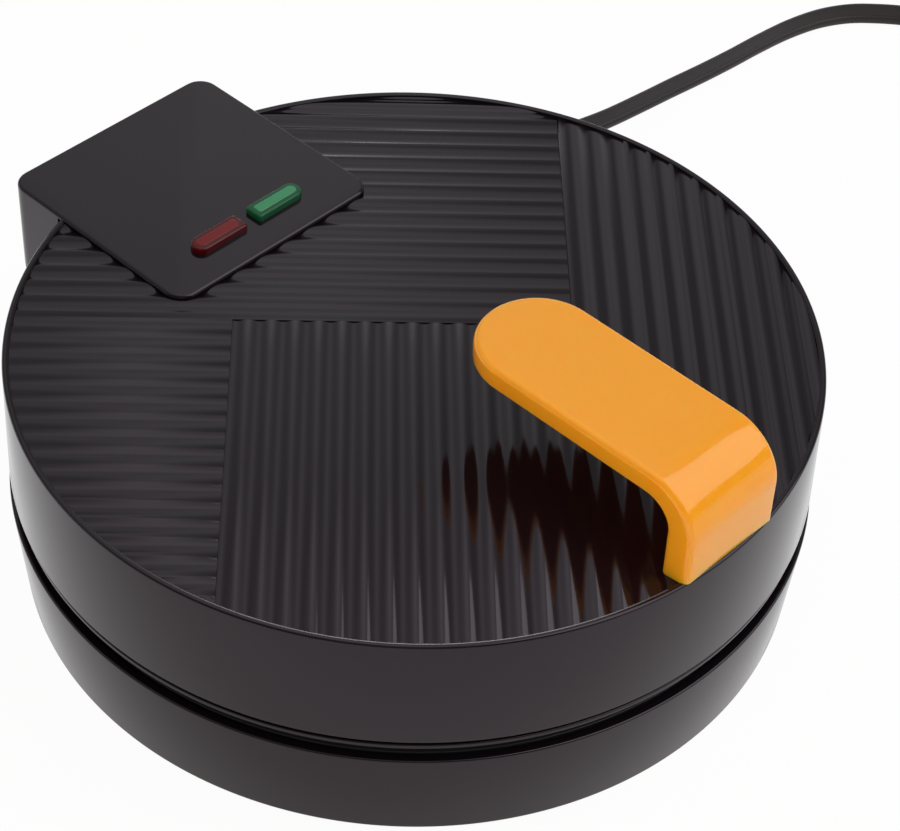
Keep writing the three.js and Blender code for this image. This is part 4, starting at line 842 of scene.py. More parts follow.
def rib_zone(name, across_values, limits, run_across_u, sizes, ribs):
    """A flat zone as strips along the ribs, with the share of height at each point of a strip."""
    # Shares of the end rounding at which a strip has its first and last points
    taper = (0.0, 0.12, 0.3, 0.6, 1.0)
    heights = [math.sqrt(1 - (1 - t) ** 2) for t in taper]
    heights += heights[::-1]
    vertices, rises, acrosses, faces = [], [], [], []
    turn = Matrix.Rotation(ribs.turn, 2)
    full = [(across, 1.0) for across in across_values]
    skirted = [(across_values[0], 0.0), *full, (across_values[-1], 0.0)]
    for across, share in skirted:
        low, high = limits(across)
        reach = min(ribs.end_round, (high - low) / 2)
        stations = [low + reach * t for t in taper] + [high - reach * t for t in reversed(taper)]
        for along, rise in zip(stations, heights):
            flat = Vector((across, along)) if run_across_u else Vector((along, across))
            place = turn @ flat
            vertices.append((place.x, place.y, sizes.face_height))
            rises.append(rise * share)
            acrosses.append(across)
    count = len(heights)
    for left in range(0, len(vertices) - count, count):
        right = left + count
        faces += [(left + k, right + k, right + k + 1, left + k + 1) for k in range(count - 1)]
    mesh = bpy.data.meshes.new(name)
    mesh.from_pydata([Vector(v) + body_axis for v in vertices], [], faces)
    for key, values in (("rise", rises), ("across", acrosses)):
        attribute = mesh.attributes.new(key, "FLOAT", "POINT")
        attribute.data.foreach_set("value", np.array(values, np.float32))
    work = bmesh.new()
    work.from_mesh(mesh)
    bmesh.ops.recalc_face_normals(work, faces=work.faces)
    if sum(face.normal.z * face.calc_area() for face in work.faces) < 0:
        bmesh.ops.reverse_faces(work, faces=work.faces)
    work.to_mesh(mesh)
    work.free()
    return placed(name, mesh)


def rib_zones(sizes, ribs, finish):
    """The three visible fields of ribs, as four sets of strips."""
    reach = sizes.rim_radius - sizes.lip_width + ribs.edge_overlap
    left, right, split = -ribs.left_border, ribs.right_border, ribs.split_border
    last = reach - ribs.margin
    step = ribs.pitch / ribs.steps

    def edge(value):
        return math.sqrt(max(reach**2 - value**2, 0))

    def row(start, end):
        count = max(2, math.ceil((end - start) / step))
        return [start + (end - start) * k / count for k in range(count + 1)]

    sets = (
        ("ribs_front", row(left, right), lambda u: (-edge(u), split), True),
        ("ribs_right", row(right, last), lambda u: (-edge(u), edge(u)), True),
        ("ribs_rear", row(split, last), lambda v: (-edge(v), min(right, edge(v))), False),
        ("ribs_left", row(-edge(left) + ribs.margin, split), lambda v: (-edge(v), left), False),
    )
    things = []
    for name, values, limits, run_across_u in sets:
        zone = rib_zone(name, values, limits, run_across_u, sizes, ribs)
        phase = ribs.across_phase if run_across_u else ribs.along_phase
        rule = {"Pitch": ribs.pitch, "Height": ribs.height, "Crest place": phase, "Material": finish}
        things.append(run_tree(zone, once(rib_rule_tree), rule))
    return things


def lid_panel_shape(sizes, ribs):
    """The closed panel under the ribs."""
    reach = sizes.rim_radius - sizes.lip_width
    top = sizes.face_height - ribs.panel_drop
    low = sizes.face_height - sizes.lid_wall
    return revolve([(0, low), (reach, low), (reach, top), (0, top)], PLATE_SEGMENTS, closed=False)


def hinge_lug_shape(hinge):
    """The two ears of the lid that hold the hinge pin."""
    y, z = hinge_axis.y - body_axis.y, hinge_axis.z
    radius = hinge.ear_radius
    outline = [(hinge.ear_start, z - radius)]
    for k in range(9):
        turn = math.pi * k / 12
        outline.append((y + radius * math.sin(turn), z - radius * math.cos(turn)))
    outline += [(hinge.ear_end, hinge.ear_top), (hinge.ear_start, hinge.ear_top)]
    ears = []
    for x0, x1 in ((-hinge.ear_outer, -hinge.ear_inner), (hinge.ear_inner, hinge.ear_outer)):
        ears.append(loft([[(x0, a, b) for a, b in outline], [(x1, a, b) for a, b in outline]]))
    return joined(*ears)


def collar_shape(bead):
    """The glossy bead under the lid, with its tongue inside the wall."""
    corners = [
        (bead.inner, bead.bottom, bead.small_edge),
        (bead.outer, bead.bottom, bead.edge),
        (bead.outer, bead.top, bead.small_edge),
        (bead.tongue_radius, bead.top, 0),
        (bead.tongue_radius, bead.tongue_top, 0),
        (bead.inner, bead.tongue_top, 0),
    ]
    return revolve(filleted(corners, 10), WALL_SEGMENTS)


class BuildLid(bpy.types.Operator):
    """Builds the lid's wall, its ribbed face, its bead and its hinge ears."""

    bl_idname = "cupcake_maker.lid"
    bl_label = "Lid"

    def execute(self, context):
        scene = context.scene
        sizes, ribs, hinge = scene.cupcake_body, scene.cupcake_ribs, scene.cupcake_hinge
        finish = once(moulded_black_abs)
        slot = hinge_slot(sizes, hinge)
        wall = cut_by(make_mesh("lid_wall", lid_wall_shape(sizes)), slot)
        dress(wall, "lid", finish, ["lid_shell"])
        dress(make_mesh("lid_panel", lid_panel_shape(sizes, ribs)), "lid", finish)
        for zone in rib_zones(sizes, ribs, finish):
            dress(zone, "lid", finish)
        dress(make_mesh("lid_hinge_ears", hinge_lug_shape(hinge)), "lid", finish)
        collar = cut_by(make_mesh("lid_bead", collar_shape(scene.cupcake_bead)), slot)
        dress(collar, "lid", finish, ["lid_collar"])
        return {"FINISHED"}


# Hinge cover and lamps


def cover_bottom(x, y, body_radius, plate_under, cover):
    """Height of the cover's lower edge at a point of its outline."""
    if math.hypot(x, y) < body_radius:
        return plate_under
    centre_y, centre_z = hinge_axis.y - body_axis.y, hinge_axis.z
    radius = cover_high.y - hinge_axis.y
    if abs(x) < cover.notch_half and y > centre_y:
        return cover.notch_top
    if y <= centre_y:
        return centre_z - radius
    return centre_z - math.sqrt(max(radius**2 - (y - centre_y) ** 2, 0))


def cover_shape(sizes, cover):
    """A flat rounded cap with walls outside the lid, its rear corner rounded about the hinge."""
    x0, x1 = cover_low.x, cover_high.x
    y0, y1 = cover_low.y - body_axis.y, cover_high.y - body_axis.y
    top, edge, ease = cover_high.z, cover.edge, cover.lower_edge
    plate_under = sizes.face_height + cover.gap
    corner_steps, edge_steps = 10, 8
    outline = rounded_rectangle(x0, x1, y0, y1, cover.corner, corner_steps)
    ahead = outline[1:] + outline[:1]
    counts = [max(1, round(math.dist(p, q) / cover.spacing)) for p, q in zip(outline, ahead)]

    def dense(inset):
        loop = rounded_rectangle(x0, x1, y0, y1, cover.corner, corner_steps, inset)
        points = []
        for (ax, ay), (bx, by), count in zip(loop, loop[1:] + loop[:1], counts):
            points += [(ax + (bx - ax) * i / count, ay + (by - ay) * i / count) for i in range(count)]
        return points

    outer, inner = dense(0), dense(cover.wall)
    bottoms = [cover_bottom(x, y, sizes.lid_radius + cover.gap, plate_under, cover) for x, y in outer]
    loops = [
        [(x, y, plate_under) for x, y in inner],
        [(x, y, b) for (x, y), b in zip(inner, bottoms)],
        [(x, y, b) for (x, y), b in zip(dense(ease), bottoms)],
        [(x, y, b + ease) for (x, y), b in zip(outer, bottoms)],
    ]
    for k in range(edge_steps + 1):
        turn = math.pi / 2 * k / edge_steps
        height = top - edge + edge * math.sin(turn)
        loops.append([(x, y, height) for x, y in dense(edge * (1 - math.cos(turn)))])
    return loft(loops)


def lens_shape(low, high, way, corner, edge, set_in=0.0, rise=0.0):
    """A raised lens, squared at its inner end and rounded at its outer end, with eased edges."""
    y0, y1 = low.y - body_axis.y, high.y - body_axis.y
    half, middle = (y1 - y0) / 2, (y0 + y1) / 2
    top, foot = high.z + rise, low.z
    inner = low.x if way > 0 else high.x
    outer = high.x if way > 0 else low.x
    corner_steps, end_steps, edge_steps = 4, 16, 6

    def small_corner(start, side, radius, first_turn):
        """The points of one corner at the inner end, on the side of the middle that is given."""
        points = []
        for k in range(corner_steps + 1):
            turn = first_turn + math.pi / 2 * k / corner_steps
            across, along = corner * math.cos(turn), corner * math.sin(turn)
            points.append((start + way * (corner + across), middle + side * (radius - corner) + along))
        return points

    def outline(inset):
        radius = half - inset
        start = inner + way * inset
        points = small_corner(start, -1, radius, math.pi)
        for k in range(end_steps + 1):
            turn = -math.pi / 2 + math.pi * k / end_steps
            x = outer - way * half + way * radius * math.cos(turn)
            points.append((x, middle + radius * math.sin(turn)))
        return points + small_corner(start, 1, radius, math.pi / 2)

    loops = [[(x, y, foot) for x, y in outline(set_in)]]
    for k in range(edge_steps + 1):
        turn = math.pi / 2 * k / edge_steps
        height = top - edge + edge * math.sin(turn)
        loops.append([(x, y, height) for x, y in outline(set_in + edge * (1 - math.cos(turn)))])
    return loft(loops)


def build_lens(name, low, high, way, dye, lit_field_colour):
    """A lamp's lens: its dyed body, and the field over the lamp, whose brighter colour is painted light."""
    lens = bpy.context.scene.cupcake_lens
    node = name + "_lens"
    finish = once(dyed_and_lit_polycarbonate, f"dyed_{name}_polycarbonate", tuple(dye))
    shape = lens_shape(low, high, way, lens.corner, lens.edge)
    dress(make_mesh(node, shape), "lid", finish, [node])
    # Painted light: the field's colour is brighter than the dye, for the light that comes through the lens there.
    finish = once(dyed_and_lit_polycarbonate, f"lit_{name}_polycarbonate", tuple(lit_field_colour))
    shape = lens_shape(low, high, way, lens.corner, lens.field_edge, lens.field_inset, lens.field_rise)
    dress(make_mesh(node + "_field", shape), "lid", finish)


class BuildCover(bpy.types.Operator):
    """Builds the hinge cover and its green and red lenses."""

    bl_idname = "cupcake_maker.cover"
    bl_label = "Hinge cover and lenses"

    def execute(self, context):
        scene = context.scene
        colours = scene.cupcake_colours
        cover = make_mesh("cover_cap", cover_shape(scene.cupcake_body, scene.cupcake_cover))
        dress(cover, "lid", once(moulded_black_abs), ["hinge_cover"])
        build_lens("green", green_low, green_high, 1, colours.green, colours.green_field)
        build_lens("red", red_low, red_high, -1, colours.red, colours.red_field)
        return {"FINISHED"}


# Handle


def handle_section(width, sizes):
    """One half of the bar's section, from the middle of its top to the middle of its underside."""
    edge, steps = sizes.edge, 7
    flat = [width * k / 4 for k in range(3)]
    quarter = [math.pi / 2 * k / steps for k in range(steps + 1)]
    section = [(offset, 0.0) for offset in flat]
    section += [(width - edge + edge * math.sin(t), edge - edge * math.cos(t)) for t in quarter]
    section += [(width - edge + edge * math.cos(t), sizes.slab - edge + edge * math.sin(t)) for t in quarter]
    return section + [(offset, sizes.slab) for offset in reversed(flat)]


def handle_stations(tip_centre, sizes, body):
    """Pairs of (y, z) on the bar's outside and inside, from the tip's centre to the foot of the leg."""
    top, under = handle_high.z, handle_high.z - sizes.slab
    outer_y = handle_low.y - body_axis.y
    inner_y = outer_y + sizes.leg
    outer_centre = (outer_y + sizes.outer_bend, top - sizes.outer_bend)
    inner_centre = (inner_y + sizes.inner_bend, under - sizes.inner_bend)
    arm_steps, bend_steps, leg_steps = 8, 24, 3
    stations = []
    for k in range(arm_steps + 1):
        y = tip_centre - (tip_centre - inner_centre[0]) * k / arm_steps
        stations.append(((y, top), (y, under)))
    for k in range(1, bend_steps + 1):
        turn = math.pi / 2 * (1 + k / bend_steps)
        pair = []
        for centre, bend in ((outer_centre, sizes.outer_bend), (inner_centre, sizes.inner_bend)):
            pair.append((centre[0] + bend * math.cos(turn), centre[1] + bend * math.sin(turn)))
        stations.append(tuple(pair))
    for k in range(1, leg_steps + 1):
        outer_z = outer_centre[1] + (body.rim_top - outer_centre[1]) * k / leg_steps
        inner_z = inner_centre[1] + (body.face_height - inner_centre[1]) * k / leg_steps
        stations.append(((outer_y, outer_z), (inner_y, inner_z)))
    return stations


def handle_shape(sizes, body):
    """A rounded bar in one plane, bent down at the front to stand on the rim."""
    width = (handle_high.x - handle_low.x) / 2
    tip_centre = handle_high.y - body_axis.y - width
    section = handle_section(width, sizes)
    stations = handle_stations(tip_centre, sizes, body)

    def across(station, side):
        """The section at a station, on the given side of the middle."""
        (outer_y, outer_z), (inner_y, inner_z) = station
        loop = []
        for offset, drop in section:
            share = drop / sizes.slab
            y = outer_y + (inner_y - outer_y) * share
            loop.append((side * offset, y, outer_z + (inner_z - outer_z) * share))
        return loop

    loops = [across(station, -1) for station in reversed(stations)]
    tip_steps = 40
    for k in range(1, tip_steps):
        turn = math.pi - math.pi * k / tip_steps
        loop = []
        for offset, drop in section:
            y = tip_centre + offset * math.sin(turn)
            loop.append((offset * math.cos(turn), y, handle_high.z - drop))
        loops.append(loop)
    loops += [across(station, 1) for station in stations]
    count = len(section)
    vertices = [point for loop in loops for point in loop]
    faces = []
    last = (len(loops) - 1) * count
    for start in range(0, last, count):
        for k in range(start, start + count - 1):
            faces.append((k, k + 1, k + count + 1, k + count))
    faces.append(tuple(range(count)) + tuple(last + k for k in reversed(range(count))))
    return vertices, faces


class BuildHandle(bpy.types.Operator):
    """Builds the orange handle."""

    bl_idname = "cupcake_maker.handle"
    bl_label = "Handle"

    def execute(self, context):
        sizes, body = context.scene.cupcake_handle, context.scene.cupcake_body
        handle = make_mesh("lift_handle", handle_shape(sizes, body), sharp_angle=50)
        dress(handle, "lid", once(moulded_orange_abs), ["handle"])
        return {"FINISHED"}


# Base


def base_wall_shape(sizes):
    """The base's bowl: wall, rounded foot and floor."""
    floor_top = sizes.base_bottom + sizes.base_wall
    # The second corner is a ring near the foot that keeps the flat bottom's shading even
    corners = [
        (0, sizes.base_bottom, 0),
        (sizes.base_foot_radius - 2 * sizes.base_round, sizes.base_bottom, 0),
        (sizes.base_foot_radius, sizes.base_bottom, sizes.base_round),
        (sizes.base_radius, sizes.base_top, sizes.base_edge),
        (sizes.base_radius - sizes.base_wall, sizes.base_top, sizes.base_edge / 2),
        (sizes.base_foot_radius - sizes.base_wall, floor_top, 0),
        (0, floor_top, 0),
    ]
    return revolve(filleted(corners), WALL_SEGMENTS, closed=False)


def rear_block_shape(sizes, details):
    """The block behind the base where the lead leaves."""
    half, start, end = details.block_half, details.block_start, base_high.y - body_axis.y
    levels = (sizes.base_bottom, details.block_top)
    return rounded_block(-half, half, start, end, *levels, details.block_corner, details.block_edge)


def eased_rod(half, radius, ease, segments):
    """A rod along the hinge's axis with bevelled ends."""
    y, z = hinge_axis.y - body_axis.y, hinge_axis.z
    inner, small = half - ease, radius - ease
    rings = []
    for x, r in ((-half, small), (-inner, radius), (inner, radius), (half, small)):
        rings.append([(x, y + a, z + b) for a, b in circle(r, segments)])
    return loft(rings)


def hinge_neck_shape(hinge):
    """The neck and barrel that carry the hinge pin."""
    half = hinge.barrel_half
    barrel = eased_rod(half, hinge.barrel_radius, hinge.barrel_ease, BORE_SEGMENTS)
    span = (-half, half, hinge.neck_start, hinge.neck_end, hinge.neck_bottom, hinge_axis.z)
    return joined(barrel, rounded_block(*span, hinge.neck_corner, hinge.neck_edge))


def pin_shape(hinge):
    """The steel hinge pin with eased ends."""
    low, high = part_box("hinge_pin")
    return eased_rod(high.x, (high.z - low.z) / 2, hinge.pin_ease, PIN_SEGMENTS)


def turned_shape(shape, turn):
    """A shape turned about the body's axis."""
    vertices, faces = shape
    spin = Matrix.Rotation(turn, 3, "Z")
    return [tuple(spin @ Vector(v)) for v in vertices], faces


def on_ring(shape, radius, turns):
    """A shape that stands on the axis, copied to places on a circle and turned with them."""
    return joined(*[turned_shape(moved(shape, x=radius), turn) for turn in turns])


def screw_seat_shape(low, high, face, screws):
    """The room for a screw's head and shank above a face."""
    head, shank = (high.x - low.x) / 2 + screws.seat_gap, screws.seat_shank
    below, seat, top = face - MM, face + screws.seat_depth, face + screws.seat_top
    outline = [(0, below), (head, below), (head, seat), (shank, seat), (shank, top), (0, top)]
    return revolve(outline, BORE_SEGMENTS, closed=False)


def screw_shape(low, high, screws):
    """A slotted screw that points up: its domed head, its shank and its tip."""
    head = (high.x - low.x) / 2
    under_head = low.z + screws.head
    corners = [
        (0, low.z, 0),
        (head, low.z, screws.dome),
        (head, under_head, screws.head_edge),
        (screws.shank, under_head, 0),
        (screws.shank, high.z, screws.dome),
        (0, high.z, 0),
    ]
    return revolve(filleted(corners), PEG_SEGMENTS, closed=False)


def plate_screws(name, node, body):
    """The slotted screws on a plate's screw circle."""
    screws = bpy.context.scene.cupcake_screws
    finish = once(zinc_plated_steel)
    low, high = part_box(node + "_1")
    reach, half = screws.slot_reach, screws.slot_half
    slot = block_box(-reach, reach, -half, half, low.z - MM, low.z + screws.slot_depth)
    screw = cut_by(make_mesh(name, screw_shape(low, high, screws), on_axis=False), slot, on_axis=False)
    copies = round_the_axis(screw, screws.count, screws.circle, screws.first, finish)
    dress(copies, body, finish, [f"{node}_{k + 1}" for k in range(screws.count)])


def screw_seats(node, face):
    """The rooms for all the screws of a plate."""
    screws = bpy.context.scene.cupcake_screws
    turns = [screws.first + 2 * math.pi * k / screws.count for k in range(screws.count)]
    return on_ring(screw_seat_shape(*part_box(node + "_1"), face, screws), screws.circle, turns)


def vents_shape(sizes, details):
    """The slots in the base's floor."""
    low, high = sizes.base_bottom - MM, sizes.base_bottom + sizes.base_wall + MM
    half, long_half = details.vent_half_width, details.vent_half_length
    slot = block_box(-half, half, -long_half, long_half, low, high)
    turns = (-20, 0, 20, 160, 180, 200, 250, 290)
    return on_ring(slot, details.vent_circle, [math.radians(turn) for turn in turns])


def foot_shape(sizes, details):
    """One rubber foot, upright on the axis."""
    corners = [
        (0, 0, 0),
        (details.foot_radius, 0, details.foot_edge),
        (details.foot_radius, sizes.base_bottom, 0),
        (0, sizes.base_bottom, 0),
    ]
    return revolve(filleted(corners), PEG_SEGMENTS, closed=False)


def trim_ring_shape(bead):
    """The bright ring on the base's edge."""
    low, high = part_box("base_trim_ring")
    inner, outer, edge = bead.ring_inner, high.x, bead.ring_edge
    corners = [(inner, low.z, 0), (outer, low.z, 0), (outer, high.z, edge), (inner, high.z, edge)]
    return revolve(filleted(corners), WALL_SEGMENTS)


class BuildBase(bpy.types.Operator):
    """Builds the base moulding, its rear block, hinge neck, trim ring, pin and feet."""

    bl_idname = "cupcake_maker.base"
    bl_label = "Base"

    def execute(self, context):
        scene = context.scene
        sizes, details, hinge = scene.cupcake_body, scene.cupcake_base, scene.cupcake_hinge
        finish, steel, rubber = once(moulded_black_abs), once(zinc_plated_steel), once(moulded_rubber)
        seats = screw_seats("lower_plate_screw", sizes.base_bottom)
        bowl = cut_by(make_mesh("base_bowl", base_wall_shape(sizes)), vents_shape(sizes, details))
        dress(cut_by(bowl, seats), "base", finish, ["base_shell"])
        plate_screws("base_screws", "lower_plate_screw", "base")
        block = make_mesh("base_rear_block", rear_block_shape(sizes, details))
        dress(block, "base", finish)
        dress(make_mesh("base_hinge_neck", hinge_neck_shape(hinge)), "base", finish)
        dress(make_mesh("steel_hinge_pin", pin_shape(hinge)), "base", steel, ["hinge_pin"])
        ring = make_mesh("trim_ring", trim_ring_shape(scene.cupcake_bead))
        dress(ring, "base", once(coated_aluminium), ["base_trim_ring"])
        foot = make_mesh("rubber_feet", foot_shape(sizes, details), on_axis=False)
        feet = round_the_axis(foot, details.feet, details.foot_circle, details.first_foot, rubber)
        dress(feet, "base", rubber, [f"foot_{k + 1}" for k in range(details.feet)])
        return {"FINISHED"}


# Cooking plates


def cup_strip(centre, bottom, depth, face, way, sizes):
    """The wall and bottom of one cup, open at its mouth."""
    end = face + way * depth
    corners = [
        (sizes.mouth_radius + sizes.mouth_fillet, face, 0),
        (sizes.mouth_radius, face, sizes.mouth_fillet),
        (bottom, end, sizes.bottom_fillet),
        (0, end, 0),
    ]
    return moved(revolve(filleted_open(corners, 8), CUP_SEGMENTS, closed=False), *centre)


def filleted_open(corners, steps):
    """As filleted, for a line that doesn't close: its end corners stay sharp."""
    first, *middle, last = corners
    return filleted([(*first[:2], 0), *middle, (*last[:2], 0)], steps)


def cup_back(centre, mouth, bottom, depth, face, way, sizes):
    """The outside of one cup, seen from behind the plate."""
    end = face + way * (depth + sizes.wall)
    corners = [
        (mouth, face + way * sizes.wall, 0),
        (bottom + sizes.wall, end, sizes.bottom_fillet + sizes.wall / 2),
        (0, end, 0),
    ]
    return moved(revolve(filleted_open(corners, 6), CUP_SEGMENTS, closed=False), *centre)


def cup_centres(sizes):
    """The middle cup and the ring of cups."""
    turns = (2 * math.pi * k / sizes.cups for k in range(sizes.cups))
    return [(0.0, 0.0)] + [(sizes.ring_radius * math.cos(t), sizes.ring_radius * math.sin(t)) for t in turns]


def plate_shape(sizes, face, way, bottom, depth, radius, rim_profile):
    """A plate with its cups: a flat face with round mouths, cup walls inside and out, and a rim."""
    centres = cup_centres(sizes)
    mouth = sizes.mouth_radius + sizes.mouth_fillet
    slope = (sizes.mouth_radius - bottom) / depth
    back_mouth = sizes.mouth_radius + sizes.wall * (1 - slope)
    shapes = []
    for hole, height in ((mouth, face), (back_mouth, face + way * sizes.wall)):
        holes = [circle(hole, CUP_SEGMENTS, c) for c in centres]
        shapes.append(flat_region(circle(radius, PLATE_SEGMENTS), holes, height))
    for centre in centres:
        shapes.append(cup_strip(centre, bottom, depth, face, way, sizes))
        shapes.append(cup_back(centre, back_mouth, bottom, depth, face, way, sizes))
    shapes.append(revolve(rim_profile, PLATE_SEGMENTS, closed=False))
    return joined(*shapes)


def lower_rim(sizes, radius, top):
    """The section of the lower plate's edge, with its bead."""
    face = top - sizes.bead_rise
    bead_inner = radius - sizes.bead_width
    start = bead_inner - sizes.bead_margin
    corners = [
        (start, face, 0),
        (bead_inner, face, sizes.bead_foot_edge),
        (bead_inner + sizes.bead_slope, top, sizes.bead_inner_edge),
        (radius, top, sizes.bead_outer_edge),
        (radius, face - sizes.wall, 0),
        (start, face - sizes.wall, 0),
    ]
    return filleted_open(corners, 5)


def upper_rim(sizes, radius, face):
    """The section of the upper plate's edge."""
    start = radius - sizes.rim_width
    back = face + sizes.wall
    corners = [(start, face, 0), (radius, face, sizes.rim_edge), (radius, back, 0), (start, back, 0)]
    return filleted_open(corners, 5)


class BuildPlates(bpy.types.Operator):
    """Builds the two cooking plates and the screws that hold the upper one."""

    bl_idname = "cupcake_maker.plates"
    bl_label = "Cooking plates"

    def execute(self, context):
        sizes = context.scene.cupcake_plates
        finish = once(coated_aluminium)
        low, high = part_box("lower_plate")
        radius, face = (high.x - low.x) / 2, high.z - sizes.bead_rise
        rim = lower_rim(sizes, radius, high.z)
        cups = (sizes.bottom_radius, sizes.cup_depth)
        lower = plate_shape(sizes, face, -1, *cups, rim[0][0], rim)
        dress(make_mesh("lower_cup_plate", lower), "base", finish, ["lower_plate"])
        low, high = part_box("upper_plate")
        radius, face = (high.x - low.x) / 2, low.z
        rim = upper_rim(sizes, radius, face)
        domes = (sizes.dome_radius, sizes.dome_depth)
        upper = plate_shape(sizes, face, 1, *domes, rim[0][0], rim)
        plate = cut_by(make_mesh("upper_cup_plate", upper), screw_seats("upper_plate_screw", face))
        dress(plate, "lid", finish, ["upper_plate"])
        plate_screws("lid_screws", "upper_plate_screw", "lid")
        return {"FINISHED"}


# Lead


def lead_route():
    """The free stretch's centre line, from the boot to the coil, in the body's own frame."""
    points = [
        (56.6, 103, 13),
        (66, 103, 12.6),
        (78, 102.9, 9.2),
        (92, 102, 5),
        (105, 100, 3.7),
        (122, 96, 3.7),
        (140, 91, 3.7),
        (157, 86, 3.7),
        (172, 82.4, 3.7),
        (187.4, 80.3, 3.7),
        (200.6, 78.8, 3.7),
        (213.2, 77.2, 3.7),
        (226.9, 75.8, 3.7),
        (241.6, 74.7, 3.7),
        (255.2, 73, 3.7),
        (267.5, 69.7, 3.7),
        (277.2, 64.4, 3.7),
        (284.4, 57.6, 3.7),
        (288.8, 52.4, 3.7),
        (298, 40.2, 3.7),
        (309, 25.5, 3.9),
        (316.8, 15.1, 4.5),
    ]
    return [Vector(p) * MM for p in points]


def smooth_line(points, per_span):
    """Points on a centripetal spline through the given points."""
    line = []
    padded = [points[0] * 2 - points[1], *points, points[-1] * 2 - points[-2]]
    for p0, p1, p2, p3 in zip(padded, padded[1:], padded[2:], padded[3:]):
        t0 = 0.0
        t1 = t0 + (p1 - p0).length ** 0.5
        t2 = t1 + (p2 - p1).length ** 0.5
        t3 = t2 + (p3 - p2).length ** 0.5
        for k in range(per_span):
            t = t1 + (t2 - t1) * k / per_span
            a1 = p0 * ((t1 - t) / (t1 - t0)) + p1 * ((t - t0) / (t1 - t0))
            a2 = p1 * ((t2 - t) / (t2 - t1)) + p2 * ((t - t1) / (t2 - t1))
            a3 = p2 * ((t3 - t) / (t3 - t2)) + p3 * ((t - t2) / (t3 - t2))
            b1 = a1 * ((t2 - t) / (t2 - t0)) + a2 * ((t - t0) / (t2 - t0))
            b2 = a2 * ((t3 - t) / (t3 - t1)) + a3 * ((t - t1) / (t3 - t1))
            line.append(b1 * ((t2 - t) / (t2 - t1)) + b2 * ((t - t1) / (t2 - t1)))
    line.append(points[-1].copy())
    return line


def coil_line(lead, steps=48):
    """The coil's centre line: inwards on the floor, up one layer, and outwards again."""
    centre = Vector((*COIL_CENTRE, lead.coil_height))
    turns, inward_turns, climb_turns = 2.25, 1.0, 0.35
    climb_end = inward_turns + climb_turns
    entry = math.atan2(COIL_ENTRY.x, -COIL_ENTRY.y)
    line = []
    count = round(turns * steps)
    for k in range(count + 1):
        turn = turns * k / count
        inward = min(turn / inward_turns, 1)
        outward = max((turn - climb_end) / (turns - climb_end), 0)
        radius = lead.ring_radius - (lead.ring_radius - lead.inner_radius) * (inward - outward)
        share = min(max((turn - inward_turns) / climb_turns, 0), 1)
        rise = lead.layer_rise * share * share * (3 - 2 * share)
        way = entry - 2 * math.pi * turn
        line.append(centre + Vector((radius * math.cos(way), radius * math.sin(way), rise)))
    return line


def tail_line(lead, coil_end):
    """The tail's centre line, from the coil's end to the plug."""
    start = coil_end + COIL_EXIT * (lead.lead_in + lead.piece_gap)
    climb = Vector((0, 0, lead.plug_height - start.z))
    shares = ((0, 0), (0.16, 0), (0.5, 0.5), (0.84, 1), (1, 1))
    points = [start + COIL_EXIT * lead.tail_run * run + climb * drop for run, drop in shares]
    return smooth_line(points, 8)


def lead_section(lead, count=14):
    """The section of a flat twin lead: two round cores with a groove between them."""
    core = lead.height / 4
    half_thickness = lead.thickness / 2
    # A power under 1 makes the cores' sides fuller than a circle's
    fullness = 0.75
    points = []
    for side in (1, -1):
        for k in range(count + 1):
            turn = -math.pi / 2 + math.pi * k / count
            up = side * core * (1 + math.sin(turn))
            out = half_thickness * max(math.cos(turn), 0) ** fullness
            out = max(out, half_thickness - lead.groove) if abs(up) < core else out
            points.append((side * out, up))
    return points


class BuildLead(bpy.types.Operator):
    """Builds the flat mains lead's free stretch, its coil and its tail."""

    bl_idname = "cupcake_maker.lead"
    bl_label = "Mains lead"

    def execute(self, context):
        lead = context.scene.cupcake_lead
        finish = once(extruded_pvc)
        section = lead_section(lead)
        coil = coil_line(lead)
        route = smooth_line(lead_route(), 6)
        route[-1] = coil[0] - COIL_ENTRY * (lead.lead_in + lead.piece_gap)
        tail = tail_line(lead, coil[-1])
        coil = [coil[0] - COIL_ENTRY * lead.lead_in, *coil, coil[-1] + COIL_EXIT * lead.lead_in]
        plug = ["plug_body", "plug_blade_1", "plug_blade_2"]
        for name, line, node, far_end, lay, with_pieces in (
            ("mains_lead", route, "power_cord", "object", "loose", []),
            ("lead_coil", coil, "cord_coil", "object", "coiled", ["coil_tie"]),
            ("lead_tail", tail, "lead_end", "plug", "loose", plug),
        ):
            thing = dress(swept(name, line, section, finish), "base", finish, [node])
        return {"FINISHED"}


# Pieces that keep their CAD shape


class DressFrame(bpy.types.Operator):
    """Gives every CAD piece its surface."""

    bl_idname = "cupcake_maker.dress_frame"
    bl_label = "Inner pieces"

    def execute(self, context):
        colours = context.scene.cupcake_colours
        lens = dyed_and_lit_polycarbonate
        finishes = {
            "black_gloss": once(moulded_black_abs),
            "orange_gloss": once(moulded_orange_abs),
            "coated_aluminium": once(coated_aluminium),
            "bare_aluminium": once(pressed_aluminium),
            "steel": once(zinc_plated_steel),
            "brass": once(rolled_brass),
            "black_rubber": once(extruded_pvc),
            "black_satin": once(extruded_pvc),
            "pale_resin": once(moulded_resin, "moulded_pale_resin", "#DAD4C6"),
            "red_insulation": once(moulded_resin, "extruded_red_insulation", "#8E2C26"),
            "white_insulation": once(moulded_resin, "extruded_white_insulation", "#CFCABF"),
            "lamp_glass": once(lamp_glass),
            "green_lens": once(lens, "dyed_green_polycarbonate", tuple(colours.green)),
            "red_lens": once(lens, "dyed_red_polycarbonate", tuple(colours.red)),
        }
        for entry in frame["record"]["subparts"]:
            node = frame["nodes"][entry["node"]]
            node.data.materials.clear()
            node.data.materials.append(finishes[entry["material_slot"]])
            for face in node.data.polygons:
                face.use_smooth = False
        return {"FINISHED"}


# Stage


